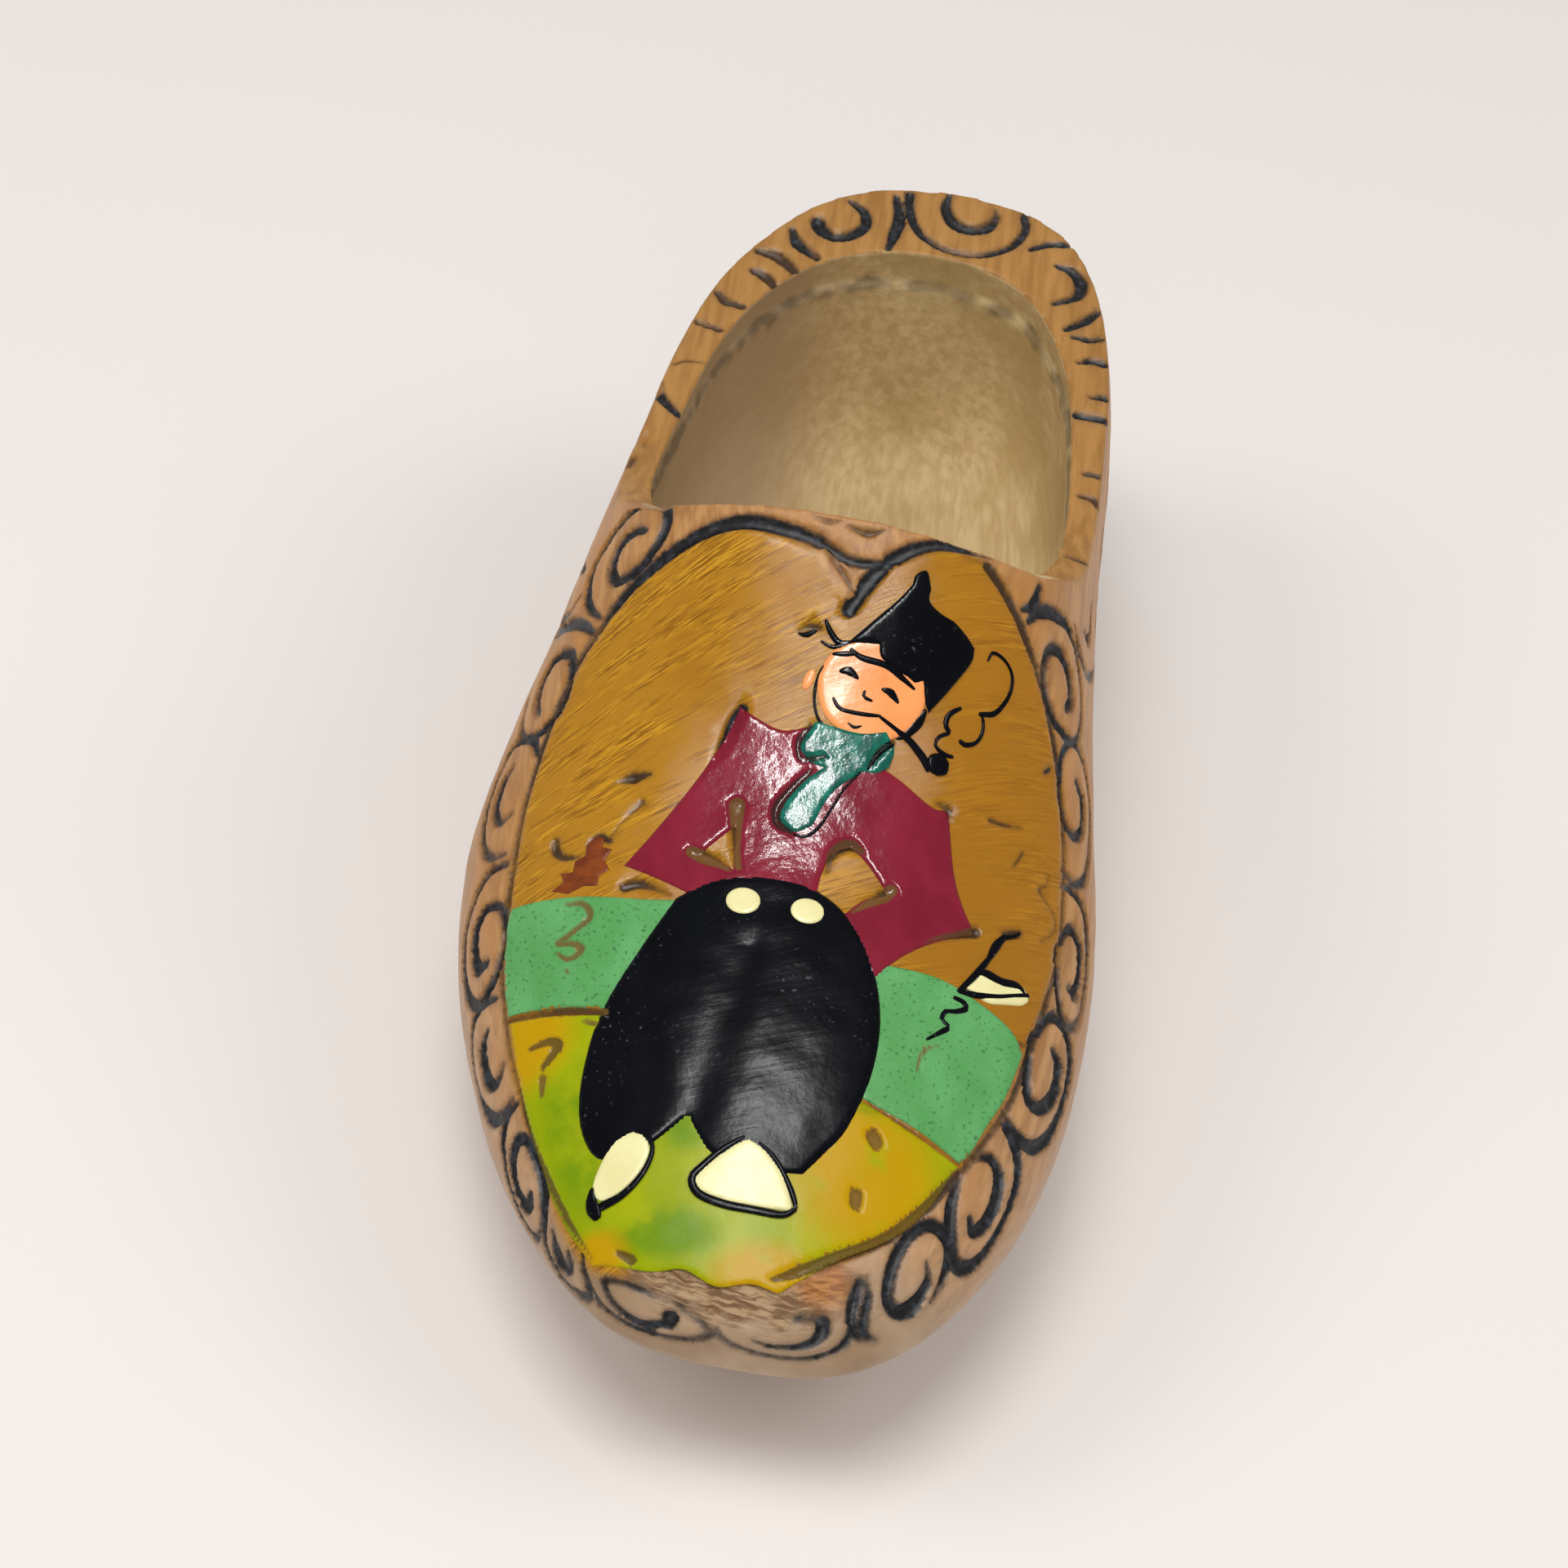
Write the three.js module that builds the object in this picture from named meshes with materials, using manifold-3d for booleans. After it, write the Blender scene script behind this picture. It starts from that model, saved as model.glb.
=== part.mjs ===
// A small carved and painted wooden clog: one block of wood, hollowed for the foot, with
// the enamel coats of a folk picture laid on its vamp. Millimetres, +Z up. The toe points
// to -Y, the heel to +Y, and it stands on z = 0 with its origin under the middle of it.
import * as THREE from 'three';
import { mergeVertices } from 'three/addons/utils/BufferGeometryUtils.js';
import Module from 'manifold-3d';

const wasm = await Module();
wasm.setup();

// ---- driving sizes -------------------------------------------------------------------
const length = 165; // toe tip to the back of the heel
const forefootWidth = 67; // over the widest part of the toe box
const heelWidth = 56;
const instepHeight = 62; // top of the vamp, projected to the middle of the clog
const bellyHeight = 22; // where the sides stand out furthest
const sideWall = 4.2; // wall at the rim, along the sides
const heelWall = 12.5; // wall at the rim, behind the heel
const vampWall = 5.5; // wood over the toes
const toeWood = 17; // solid wood in front of the hollow
const insole = 9; // wood under the foot
const toeSpring = 13; // how far the tip of the sole lifts
const archDepth = 3; // hollow between the tread and the heel block
const archLength = 30;
const mouthFront = -5; // y of the mouth's front edge, at the instep
const mouthFoot = 0.5; // y where that edge would meet the floor of its curve
const mouthSweep = 26; // y where it has run down into the side rims
const rimHeight = 43; // side rims
const heelRise = 3; // how much higher the rim is behind the heel
const mouthBand = 5; // depth of the trimmed band below the rim
const bandStep = 0.7; // how far that band is cut back into the wall
const grooveWidth = 1.6; // the carved line round the picture
const grooveDepth = 0.6;
const coatGap = 0.3; // between the wood and an enamel coat, and between two coats
const coatThick = 0.4;

const around = 56; // facets round a section
const along = 46; // facets from toe to heel
const half = length / 2;
const roundness = 2.2; // exponent of a section's curve: 2 is an ellipse
const curveSteps = 3; // pieces between two points of an outline

// ---- the clog's lines ----------------------------------------------------------------
// A smooth line through values at the same seven stations, from -1 at the toe to 1 at the heel.
const stations = [-1, -0.7, -0.35, 0, 0.35, 0.7, 1];
function line(values) {
  const curve = new THREE.CubicInterpolant(stations, values, 1, new Float32Array(1));
  return (station) => curve.evaluate(station)[0];
}
const forefoot = forefootWidth / 2;
const heel = heelWidth / 2;
const waist = (forefoot + heel) / 2 - 0.75;
const halfWidth = line([forefoot - 8.4, forefoot - 2.6, forefoot, waist, heel, heel, heel - 1.2]);
const middle = line([4.7, 2.9, 0, -0.7, -0.7, -0.2, 2]); // the toe turns in to the big toe's side
const toeTop = instepHeight * 0.436;
const ridge = line([toeTop, toeTop + 7, toeTop + 15.5, instepHeight,
  instepHeight + 6, instepHeight + 6, instepHeight + 6]);
const belly = line([bellyHeight - 4, bellyHeight - 2, bellyHeight, bellyHeight + 2,
  bellyHeight + 3, bellyHeight + 3, bellyHeight + 3]);
const deepKeel = -6; // sections run below the floor and the sole is sawn off flat
const keel = line([toeSpring, 2, deepKeel, deepKeel, deepKeel, deepKeel, deepKeel]);

// How far a line is still open at a station: 1 along the clog and 0 at its tip.
function closing(station, bluntness) {
  return Math.pow(Math.max(0, 1 - Math.pow(Math.abs(station), bluntness)), 1 / bluntness);
}

// A point of a superellipse section: angle 0 is its top, and turns towards +X.
function sectionPoint(angle, width, top, middleHeight, bottom) {
  const s = Math.sin(angle);
  const c = Math.cos(angle);
  const power = 2 / roundness;
  const rise = c > 0 ? top - middleHeight : middleHeight - bottom;
  return {
    x: width * Math.sign(s) * Math.pow(Math.abs(s), power),
    z: middleHeight + rise * Math.sign(c) * Math.pow(Math.abs(c), power),
  };
}

// The outside of the block, grown all round by `grow`.
function outside(station, angle, grow) {
  const toward = station < 0;
  const width = (halfWidth(station) + grow) * closing(station, toward ? 3.3 : 3.6);
  const height = closing(station, toward ? 3.3 : 5);
  const centre = belly(station);
  const top = centre + (ridge(station) + grow - centre) * height;
  const bottom = centre - (centre - keel(station)) * height;
  const p = sectionPoint(angle, width, top, centre, bottom);
  return new THREE.Vector3(p.x + middle(station), station * (half + grow), p.z);
}

// The hollow for the foot. It narrows under the vamp and stands open behind it.
const hollowToe = -half + toeWood;
const hollowHeel = half - heelWall;
function hollow(station, angle) {
  const y = (hollowToe + hollowHeel) / 2 + (station * (hollowHeel - hollowToe)) / 2;
  const at = y / half;
  const toward = station < 0;
  const width = (halfWidth(at) - sideWall) * closing(station, toward ? 2.6 : 3.1);
  const centre = belly(at) + 3;
  const height = closing(station, toward ? 2.6 : 4);
  const top = centre + (ridge(at) - vampWall - centre) * height;
  const bottom = centre - (centre - insole) * height;
  const p = sectionPoint(angle, width, top, centre, bottom);
  return new THREE.Vector3(p.x + middle(at), y, p.z);
}

// ---- solids --------------------------------------------------------------------------
// A ball whose poles lie on the Y axis, with each point moved by place(station, angle).
function moulded(place, ringCount, stationCount) {
  const ball = new THREE.SphereGeometry(1, ringCount, stationCount);
  const points = ball.attributes.position;
  for (let i = 0; i < points.count; i++) {
    const station = THREE.MathUtils.clamp(points.getY(i), -1, 1);
    const angle = Math.atan2(points.getX(i), points.getZ(i));
    const p = place(Math.abs(station) > 0.99999 ? Math.sign(station) : station, angle);
    points.setXYZ(i, p.x, p.y, p.z);
  }
  return ball;
}

function solid(geometry) {
  const bare = geometry.index ? geometry.clone() : geometry;
  bare.deleteAttribute('normal');
  bare.deleteAttribute('uv');
  const merged = mergeVertices(bare, 1e-4);
  return new wasm.Manifold(new wasm.Mesh({
    numProp: 3,
    vertProperties: merged.attributes.position.array,
    triVerts: new Uint32Array(merged.index.array),
  }));
}

function geometryOf(manifold) {
  const mesh = manifold.getMesh();
  const geometry = new THREE.BufferGeometry();
  geometry.setAttribute('position', new THREE.BufferAttribute(mesh.vertProperties, 3));
  geometry.setIndex(new THREE.BufferAttribute(mesh.triVerts, 1));
  return geometry;
}

// A side view (y, z) extruded right across the clog.
function acrossClog(shape) {
  const wide = forefootWidth * 2;
  const geometry = new THREE.ExtrudeGeometry(shape, { depth: wide, bevelEnabled: false, curveSegments: 16 });
  const turn = new THREE.Matrix4().makeBasis(
    new THREE.Vector3(0, 1, 0), new THREE.Vector3(0, 0, 1), new THREE.Vector3(1, 0, 0));
  geometry.applyMatrix4(turn);
  return geometry.translate(-wide / 2, 0, 0);
}

// A plan (x, y) extruded upwards from the given height.
function upFrom(height, shape) {
  const geometry = new THREE.ExtrudeGeometry(shape, { depth: 90, bevelEnabled: false, curveSegments: 16 });
  return geometry.translate(0, 0, height);
}

// What is sawn off below: the toe's lift, a flat tread, the arch, and a flat heel block.
function underSole() {
  const deep = -30;
  const treadFront = -half * 0.55;
  const archFront = 2;
  const shape = new THREE.Shape();
  shape.moveTo(-half - 20, deep);
  shape.lineTo(-half - 20, toeSpring);
  shape.quadraticCurveTo(-half * 0.8, 0, treadFront, 0);
  shape.lineTo(archFront, 0);
  shape.quadraticCurveTo(archFront + archLength / 2, archDepth * 2, archFront + archLength, 0);
  shape.lineTo(half + 20, 0);
  shape.lineTo(half + 20, deep);
  return solid(acrossClog(shape));
}

// The side view of what is sawn away for the mouth, lowered by `drop`: down from the instep,
// round into the side rims, and up a little behind the heel. The lowered line also starts
// further back, so that it never runs under the instep.
function aboveRim(drop) {
  const shape = new THREE.Shape();
  const low = rimHeight - drop;
  const front = mouthFront + drop;
  const foot = mouthFoot + drop;
  const footHeight = low + 2.5;
  const edgeTop = instepHeight - 2;
  const high = edgeTop + 60;
  const lean = (foot - front) / (edgeTop - footHeight);
  shape.moveTo(front - lean * (high - edgeTop), high);
  shape.lineTo(front, edgeTop);
  shape.quadraticCurveTo(foot, footHeight, mouthSweep, low);
  shape.lineTo(half * 0.5, low);
  shape.quadraticCurveTo(half * 0.8, low, half + 8, low + heelRise * 1.6);
  shape.lineTo(half + 8, high);
  return solid(acrossClog(shape));
}

// The trimmed band below the rim: the hollow's own outline, a little wider.
function trimmedBand() {
  const wider = (station, angle) => {
    const p = hollow(station, angle);
    const side = Math.sin(angle) * closing(station, 3.1);
    return new THREE.Vector3(p.x + bandStep * side, p.y + bandStep * station, p.z);
  };
  return solid(moulded(wider, 40, 36)).intersect(aboveRim(mouthBand));
}

const block = solid(moulded((s, a) => outside(s, a, 0), around, along));
const sole = underSole();

// ---- the picture on the vamp ---------------------------------------------------------
// The picture is drawn in plan for the sizes below and stretches with the clog.
const drawnHalf = 82.5;
const drawnForefoot = 33.5;
function drawn([x, y]) {
  return new THREE.Vector2((x * forefoot) / drawnForefoot, (y * half) / drawnHalf);
}

// The point of the outside that lies over a place in the plan.
function overPlan(x, y, grow) {
  const station = y / (half + grow);
  const width = (halfWidth(station) + grow) * closing(station, 3.3);
  const centre = belly(station);
  const rise = (ridge(station) + grow - centre) * closing(station, 3.3);
  const across = Math.min(1, Math.abs(x - middle(station)) / width);
  const up = Math.pow(1 - Math.pow(across, roundness), 1 / roundness);
  return new THREE.Vector3(x, y, centre + rise * up);
}

// A carved line through points of the plan: a round gouge cut that runs out at both ends.
function gouge(points) {
  const path = new THREE.CatmullRomCurve3(points.map((point) => {
    const at = drawn(point);
    return overPlan(at.x, at.y, 0);
  }));
  const radius = (grooveWidth * grooveWidth) / (8 * grooveDepth) + grooveDepth / 2;
  const lift = radius - grooveDepth;
  const upward = new THREE.Vector3(0, 0, 1);
  return solid(moulded((station, angle) => {
    const t = (station + 1) / 2;
    const here = path.getPointAt(t);
    const run = path.getTangentAt(t);
    const side = new THREE.Vector3().crossVectors(run, upward).normalize();
    const out = new THREE.Vector3().crossVectors(side, run).normalize();
    const open = closing(station, 8);
    here.addScaledVector(out, lift + radius * open * Math.cos(angle) + grooveDepth * (1 - open));
    return here.addScaledVector(side, radius * open * Math.sin(angle));
  }, 10, points.length * 4));
}

// A closed outline made of smooth strokes that meet at corners, spread outwards by `grow`.
function outline(strokes, grow) {
  const points = [];
  for (const stroke of strokes) {
    const curve = new THREE.SplineCurve(stroke.map(drawn));
    points.push(...curve.getPoints((stroke.length - 1) * curveSteps).slice(0, -1));
  }
  const turn = THREE.ShapeUtils.area(points) > 0 ? 1 : -1;
  return new THREE.Shape(points.map((point, i) => {
    const before = points[(i + points.length - 1) % points.length];
    const after = points[(i + 1) % points.length];
    const run = after.clone().sub(before).normalize();
    return new THREE.Vector2(point.x + run.y * grow * turn, point.y - run.x * grow * turn);
  }));
}

function blob(x, y, wide, deep) {
  const around8 = [];
  for (let i = 0; i <= 8; i++) {
    around8.push([x + (wide / 2) * Math.cos((i * Math.PI) / 4), y + (deep / 2) * Math.sin((i * Math.PI) / 4)]);
  }
  return [around8];
}

const pictures = {
  hat: [[[2.2, -14.9], [6.8, -10.3], [8.1, -7.7], [9.4, -8.9], [10.3, -10.7], [12.5, -11], [14.8, -12.4]],
    [[14.8, -12.4], [13.7, -15.3], [11.8, -18.8]],
    [[11.8, -18.8], [10.8, -16.6], [9.5, -17]],
    [[9.5, -17], [6.4, -16.2], [5.6, -15.2], [2.2, -14.9]]],
  face: [[[4.5, -15.1], [1.3, -16.4], [0.1, -19], [2.2, -22], [5.4, -23.1], [9, -21.8], [11, -18.9],
    [10.2, -16.6], [7.5, -15.2], [4.5, -15.1]]],
  scarf: [[[0.9, -22.2], [-0.4, -24.6], [0.8, -25.8], [2.3, -26.1]],
    [[2.3, -26.1], [-0.6, -29.6], [-1.2, -31.8], [0.6, -32.8], [2.4, -31.6], [6, -25.7]],
    [[6, -25.7], [8.6, -24.8], [8.9, -23.2], [7.8, -22.4]],
    [[7.8, -22.4], [5.4, -23.4], [0.9, -22.2]]],
  buttonLeft: blob(-2.8, -41.1, 3.2, 2.8),
  buttonRight: blob(3.6, -41, 3.2, 2.8),
  shoeLeft: [[[-8.6, -66.1], [-6.3, -68.2], [-8.6, -72.4], [-11, -72.9], [-11.2, -69], [-8.6, -66.1]]],
  shoeRight: [[[2.7, -65.3], [6.4, -67.6], [7.9, -70.6]],
    [[7.9, -70.6], [3, -72], [0, -71.7], [-1.3, -70], [2.7, -65.3]]],
  trousers: [[[-9.4, -41.5], [-6, -39.1], [-1, -38.1], [3.6, -38.4], [7.4, -40.4], [10.6, -44.5], [12.9, -52.2],
    [12.8, -60.3], [10.2, -64.2], [8.3, -67.2]],
    [[8.3, -67.2], [4, -68], [-0.2, -67.2]],
    [[-0.2, -67.2], [-2.4, -65.6], [-3.6, -64.2]],
    [[-3.6, -64.2], [-6.3, -66.7]],
    [[-6.3, -66.7], [-8.5, -68], [-11.3, -68.2]],
    [[-11.3, -68.2], [-14, -64.2], [-14.4, -56.5], [-11.3, -46.5], [-9.4, -41.5]]],
  jacket: [[[-7.2, -22], [-8.6, -26.6], [-15.2, -38.2]],
    [[-15.2, -38.2], [-8.3, -41.2]],
    [[-8.3, -41.2], [-1, -38.1], [4.6, -38.7]],
    [[4.6, -38.7], [4.7, -34.4], [6.4, -33.1]],
    [[6.4, -33.1], [8.6, -34.6], [10.8, -37]],
    [[10.8, -37], [7.4, -40.4]],
    [[7.4, -40.4], [11.4, -46]],
    [[11.4, -46], [13.2, -43.2], [20, -37.8]],
    [[20, -37.8], [17.2, -33], [15.3, -27]],
    [[15.3, -27], [6, -25.4]],
    [[6, -25.4], [5.4, -23.4], [0.9, -22.6], [-7.2, -22]]],
  elbowGap: [[[-5.4, -32.6], [-8.8, -36.8]], [[-8.8, -36.8], [-4, -37.9]], [[-4, -37.9], [-5.4, -32.6]]],
  meadowLeft: [[[-26, -41.1], [-13, -41.8], [-8, -41.5]],
    [[-8, -41.5], [-13, -53.6]],
    [[-13, -53.6], [-23.2, -52.9]],
    [[-23.2, -52.9], [-25.2, -46.5], [-26, -41.1]]],
  meadowRight: [[[11, -44.8], [14, -44.4], [20, -44.9], [25.6, -46], [26.9, -49], [25, -57], [22.8, -61.2]],
    [[22.8, -61.2], [18, -59.9], [11, -58.6]],
    [[11, -58.6], [11, -44.8]]],
  field: [[[-22.7, -53.9], [-19.6, -61.6], [-13.5, -71.5], [-8.8, -77.4]],
    [[-8.8, -77.4], [-4.5, -77.7], [0, -77.3], [5.4, -77.9], [8.6, -78]],
    [[8.6, -78], [14, -74.4], [19.5, -68.5], [22.4, -62]],
    [[22.4, -62], [18, -60.7], [9, -58.8]],
    [[9, -58.8], [0, -60], [-10, -55]],
    [[-10, -55], [-22.7, -53.9]]],
  boat: [[[20.5, -44.2], [21, -42.4], [26, -40.8]], [[26, -40.8], [24.4, -43], [20.5, -44.2]]],
  bush: [[[-21, -40.2], [-20.2, -37.3], [-18.8, -34.9], [-17.2, -36.8], [-17.4, -40.3]],
    [[-17.4, -40.3], [-21, -40.2]]],
};

// A coat: the layer just over the wood, cut to its outline and clear of the coats named.
// Slivers left between two of its neighbours are dropped.
const skin = solid(moulded((s, a) => outside(s, a, coatGap + coatThick), around, along))
  .subtract(solid(moulded((s, a) => outside(s, a, coatGap), around, along)));
const pictureFoot = 14; // every coat lies higher than this
function prism(name, grow) {
  return solid(upFrom(pictureFoot, outline(pictures[name], grow)));
}
function coat(name, clearOf) {
  let layer = skin.intersect(prism(name, 0));
  for (const other of clearOf) layer = layer.subtract(prism(other, coatGap));
  return layer.decompose().sort((a, b) => b.volume() - a.volume())[0];
}

const panelLines = [
  [[1.9, -12.6], [3.6, -9.2], [7, -6.2], [10.5, -4.9]],
  [[3, -8.4], [-2, -8], [-9.5, -6.2], [-16, -7.2], [-21.5, -10.2], [-25, -16], [-27, -25], [-26.8, -38],
    [-25, -49], [-21.4, -59.5], [-15, -70.6], [-10, -77.2]],
  [[14.6, -4.6], [20.5, -8], [25, -14.6], [27.6, -23], [28.6, -33], [27.8, -45], [25.8, -56], [22, -66],
    [16.6, -72.6], [8.5, -77.4]],
];
const clogSolid = panelLines.reduce((wood, points) => wood.subtract(gouge(points)), block
  .subtract(sole)
  .subtract(solid(moulded(hollow, 40, 36)))
  .subtract(trimmedBand())
  .subtract(aboveRim(0)));

// ---- the model -----------------------------------------------------------------------
const clog = new THREE.Group();
function add(name, manifold, colour, roughness) {
  const material = new THREE.MeshStandardMaterial({ color: colour, roughness, metalness: 0 });
  const mesh = new THREE.Mesh(geometryOf(manifold), material);
  mesh.name = name;
  clog.add(mesh);
}
const glossy = 0.3;
const black = 0x15191f;
const cream = 0xf3eeb6;
const green = 0x63b374;
add('carved_wood_clog', clogSolid, 0xb98a4e, 0.45);
add('hat_enamel', coat('hat', []), black, glossy);
add('face_enamel', coat('face', ['hat']), 0xf5a468, glossy);
add('scarf_enamel', coat('scarf', ['face']), 0x14705f, glossy);
add('jacket_enamel', coat('jacket', ['face', 'scarf', 'trousers', 'elbowGap']), 0x84213a, glossy);
add('trousers_enamel', coat('trousers', ['buttonLeft', 'buttonRight', 'shoeLeft', 'shoeRight']), black, glossy);
add('button_left_enamel', coat('buttonLeft', []), cream, glossy);
add('button_right_enamel', coat('buttonRight', []), cream, glossy);
add('shoe_left_enamel', coat('shoeLeft', []), cream, glossy);
add('shoe_right_enamel', coat('shoeRight', []), cream, glossy);
add('meadow_left_enamel', coat('meadowLeft', ['trousers', 'jacket']), green, glossy);
add('meadow_right_enamel', coat('meadowRight', ['trousers', 'jacket', 'boat']), green, glossy);
add('field_enamel', coat('field', ['trousers', 'shoeLeft', 'shoeRight', 'meadowLeft', 'meadowRight']), 0xd9b614, glossy);
add('boat_enamel', coat('boat', []), cream, glossy);
add('bush_enamel', coat('bush', ['meadowLeft']), 0x9a4a1c, glossy);

export default clog;
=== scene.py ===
# A small carved and painted wooden clog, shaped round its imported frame.
# Lengths below are millimetres unless a line says otherwise; meshes are made in metres.
import math
import bmesh
import bpy
import numpy as np
from mathutils import Matrix, Vector, noise
from mathutils.kdtree import KDTree


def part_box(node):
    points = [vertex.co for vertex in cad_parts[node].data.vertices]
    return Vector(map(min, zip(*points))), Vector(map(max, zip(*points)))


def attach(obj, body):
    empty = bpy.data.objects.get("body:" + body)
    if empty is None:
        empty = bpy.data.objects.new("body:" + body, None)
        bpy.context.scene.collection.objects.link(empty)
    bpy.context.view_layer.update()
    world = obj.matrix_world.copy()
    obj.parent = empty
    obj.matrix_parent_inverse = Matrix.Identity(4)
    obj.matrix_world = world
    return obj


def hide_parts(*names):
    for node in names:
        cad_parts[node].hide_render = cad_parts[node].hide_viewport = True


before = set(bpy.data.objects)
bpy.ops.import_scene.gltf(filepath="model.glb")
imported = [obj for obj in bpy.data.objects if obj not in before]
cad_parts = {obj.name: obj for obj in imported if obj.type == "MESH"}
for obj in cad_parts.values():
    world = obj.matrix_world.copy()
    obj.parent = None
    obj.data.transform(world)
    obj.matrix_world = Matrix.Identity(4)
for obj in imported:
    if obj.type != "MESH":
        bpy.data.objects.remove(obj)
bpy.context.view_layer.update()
woodLow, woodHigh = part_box("carved_wood_clog")
mm = 0.001
scene = bpy.context.scene

# The clog's driving sizes, worked out from the wood's own box; the heel is a share of the forefoot.
fromBox = {"forefoot": 1.0066, "instep": 1.044, "heel": 0.836}
half = (woodHigh[1] - woodLow[1]) / 2 / mm
forefoot = (woodHigh[0] - woodLow[0]) / 2 / mm * fromBox["forefoot"]
instep = (woodHigh[2] - woodLow[2]) / mm * fromBox["instep"]
heel = forefoot * fromBox["heel"]
clog = {
    "stations": [-1, -0.7, -0.35, 0, 0.35, 0.7, 1],
    "halfWidth": [forefoot - 8.4, forefoot - 2.6, forefoot, (forefoot + heel) / 2 - 0.75, heel, heel,
                  heel - 1.2],
    "middle": [4.7, 2.9, 0, -0.7, -0.7, -0.2, 2],
    "ridge": [instep * 0.436, instep * 0.436 + 7, instep * 0.436 + 15.5, instep] + [instep + 6] * 3,
    "belly": [18, 20, 22, 24, 25, 25, 25],
    "keel": [13, 2, -6, -6, -6, -6, -6],
    "roundness": 2.2,
    "toeBlunt": 3.3,
    "heelBlunt": 3.6,
    "heelTopBlunt": 5.0,
    "hollowToeBlunt": 2.6,
    "hollowHeelBlunt": 3.1,
    "hollowHeelTopBlunt": 4.0,
    "hollowLift": 3,
    "sideWall": 4.2,
    "heelWall": 12.5,
    "vampWall": 5.5,
    "toeWood": 17,
    "insole": 9,
    "rim": 43,
    "heelRise": 3,
    "mouthFront": -5,
    "mouthFoot": 0.5,
    "mouthSweep": 26,
    "band": 5,
    "bandStep": 0.8,
    "toeLift": 13.0,
    "archFront": 2.0,
    "archBack": 32,
    "archBend": [17, 6],
}


# A smooth line through one value at each station, from -1 at the toe to 1 at the heel.
def stationLine(values):
    at = np.array(clog["stations"], float)
    v = np.array(values, float)

    def evaluate(station):
        s = np.clip(np.asarray(station, float), -1, 1)
        i = np.clip(np.searchsorted(at, s, side="right"), 1, len(at) - 1)
        t0, t1 = at[i - 1], at[i]
        hasBefore, hasAfter = i >= 2, i < len(at) - 1
        before = np.where(hasBefore, at[np.maximum(i - 2, 0)], t1)
        after = np.where(hasAfter, at[np.minimum(i + 1, len(at) - 1)], t0)
        vBefore = np.where(hasBefore, v[np.maximum(i - 2, 0)], v[i])
        vAfter = np.where(hasAfter, v[np.minimum(i + 1, len(at) - 1)], v[i - 1])
        step = (t1 - t0) / 2
        wBefore, wAfter = step / (t0 - before), step / (after - t1)
        p = (s - t0) / (t1 - t0)
        p2, p3 = p * p, p * p * p
        a = -wBefore * p3 + 2 * wBefore * p2 - wBefore * p
        b = (1 + wBefore) * p3 + (-1.5 - 2 * wBefore) * p2 + (-0.5 + wBefore) * p + 1
        c = (-1 - wAfter) * p3 + (1.5 + wAfter) * p2 + 0.5 * p
        d = wAfter * p3 - wAfter * p2
        return a * vBefore + b * v[i - 1] + c * v[i] + d * vAfter

    return evaluate


halfWidth, middle, ridge, belly, keel = (
    stationLine(clog[name]) for name in ("halfWidth", "middle", "ridge", "belly", "keel"))


# How far a line is still open at a station: 1 along the clog and 0 at its tip.
def closing(station, bluntness):
    return np.maximum(0, 1 - np.abs(station) ** bluntness) ** (1 / bluntness)


# A superellipse section: its half width, middle, top, centre and bottom at a station.
def outsideSection(station):
    toward = np.asarray(station) < 0
    width = halfWidth(station) * closing(station, np.where(toward, clog["toeBlunt"], clog["heelBlunt"]))
    height = closing(station, np.where(toward, clog["toeBlunt"], clog["heelTopBlunt"]))
    centre = belly(station)
    top = centre + (ridge(station) - centre) * height
    bottom = centre - (centre - keel(station)) * height
    return width, middle(station), top, centre, bottom


hollowToe = -half + clog["toeWood"]
hollowHeel = half - clog["heelWall"]


# The foot space: the same kind of section, from the hollow's toe at -1 to its heel at 1.
def hollowSection(station, wider=0.0):
    y = (hollowToe + hollowHeel) / 2 + station * (hollowHeel - hollowToe) / 2
    at = y / half
    toward = np.asarray(station) < 0
    blunt = np.where(toward, clog["hollowToeBlunt"], clog["hollowHeelBlunt"])
    width = (halfWidth(at) - clog["sideWall"] + wider) * closing(station, blunt)
    height = closing(station, np.where(toward, clog["hollowToeBlunt"], clog["hollowHeelTopBlunt"]))
    centre = belly(at) + clog["hollowLift"]
    top = centre + (ridge(at) - clog["vampWall"] - centre) * height
    bottom = centre - (centre - clog["insole"]) * height
    return width, middle(at), top, centre, bottom, y + wider * station


# The point of a section at an angle from straight up.
def sectionPoint(section, angle, y):
    width, mid, top, centre, bottom = section
    power = 2 / clog["roundness"]
    s, c = np.sin(angle), np.cos(angle)
    rise = np.where(c > 0, top - centre, centre - bottom)
    x = mid + width * np.sign(s) * np.abs(s) ** power
    z = centre + rise * np.sign(c) * np.abs(c) ** power
    return np.stack([x, np.broadcast_to(y, x.shape), z], -1)


# The point of the outside at y and an angle from straight up.
def onSide(y, degrees):
    y = np.asarray(y, float)
    return sectionPoint(outsideSection(y / half), np.radians(degrees), y)


# The point of the outside straight over (x, y).
def overPlan(x, y):
    width, mid, top, centre, _ = outsideSection(np.asarray(y, float) / half)
    across = np.clip(np.abs(x - mid) / np.maximum(width, 1e-6), 0, 1)
    up = (1 - across ** clog["roundness"]) ** (1 / clog["roundness"])
    return np.stack([np.asarray(x, float), np.asarray(y, float), centre + (top - centre) * up], -1)


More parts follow.
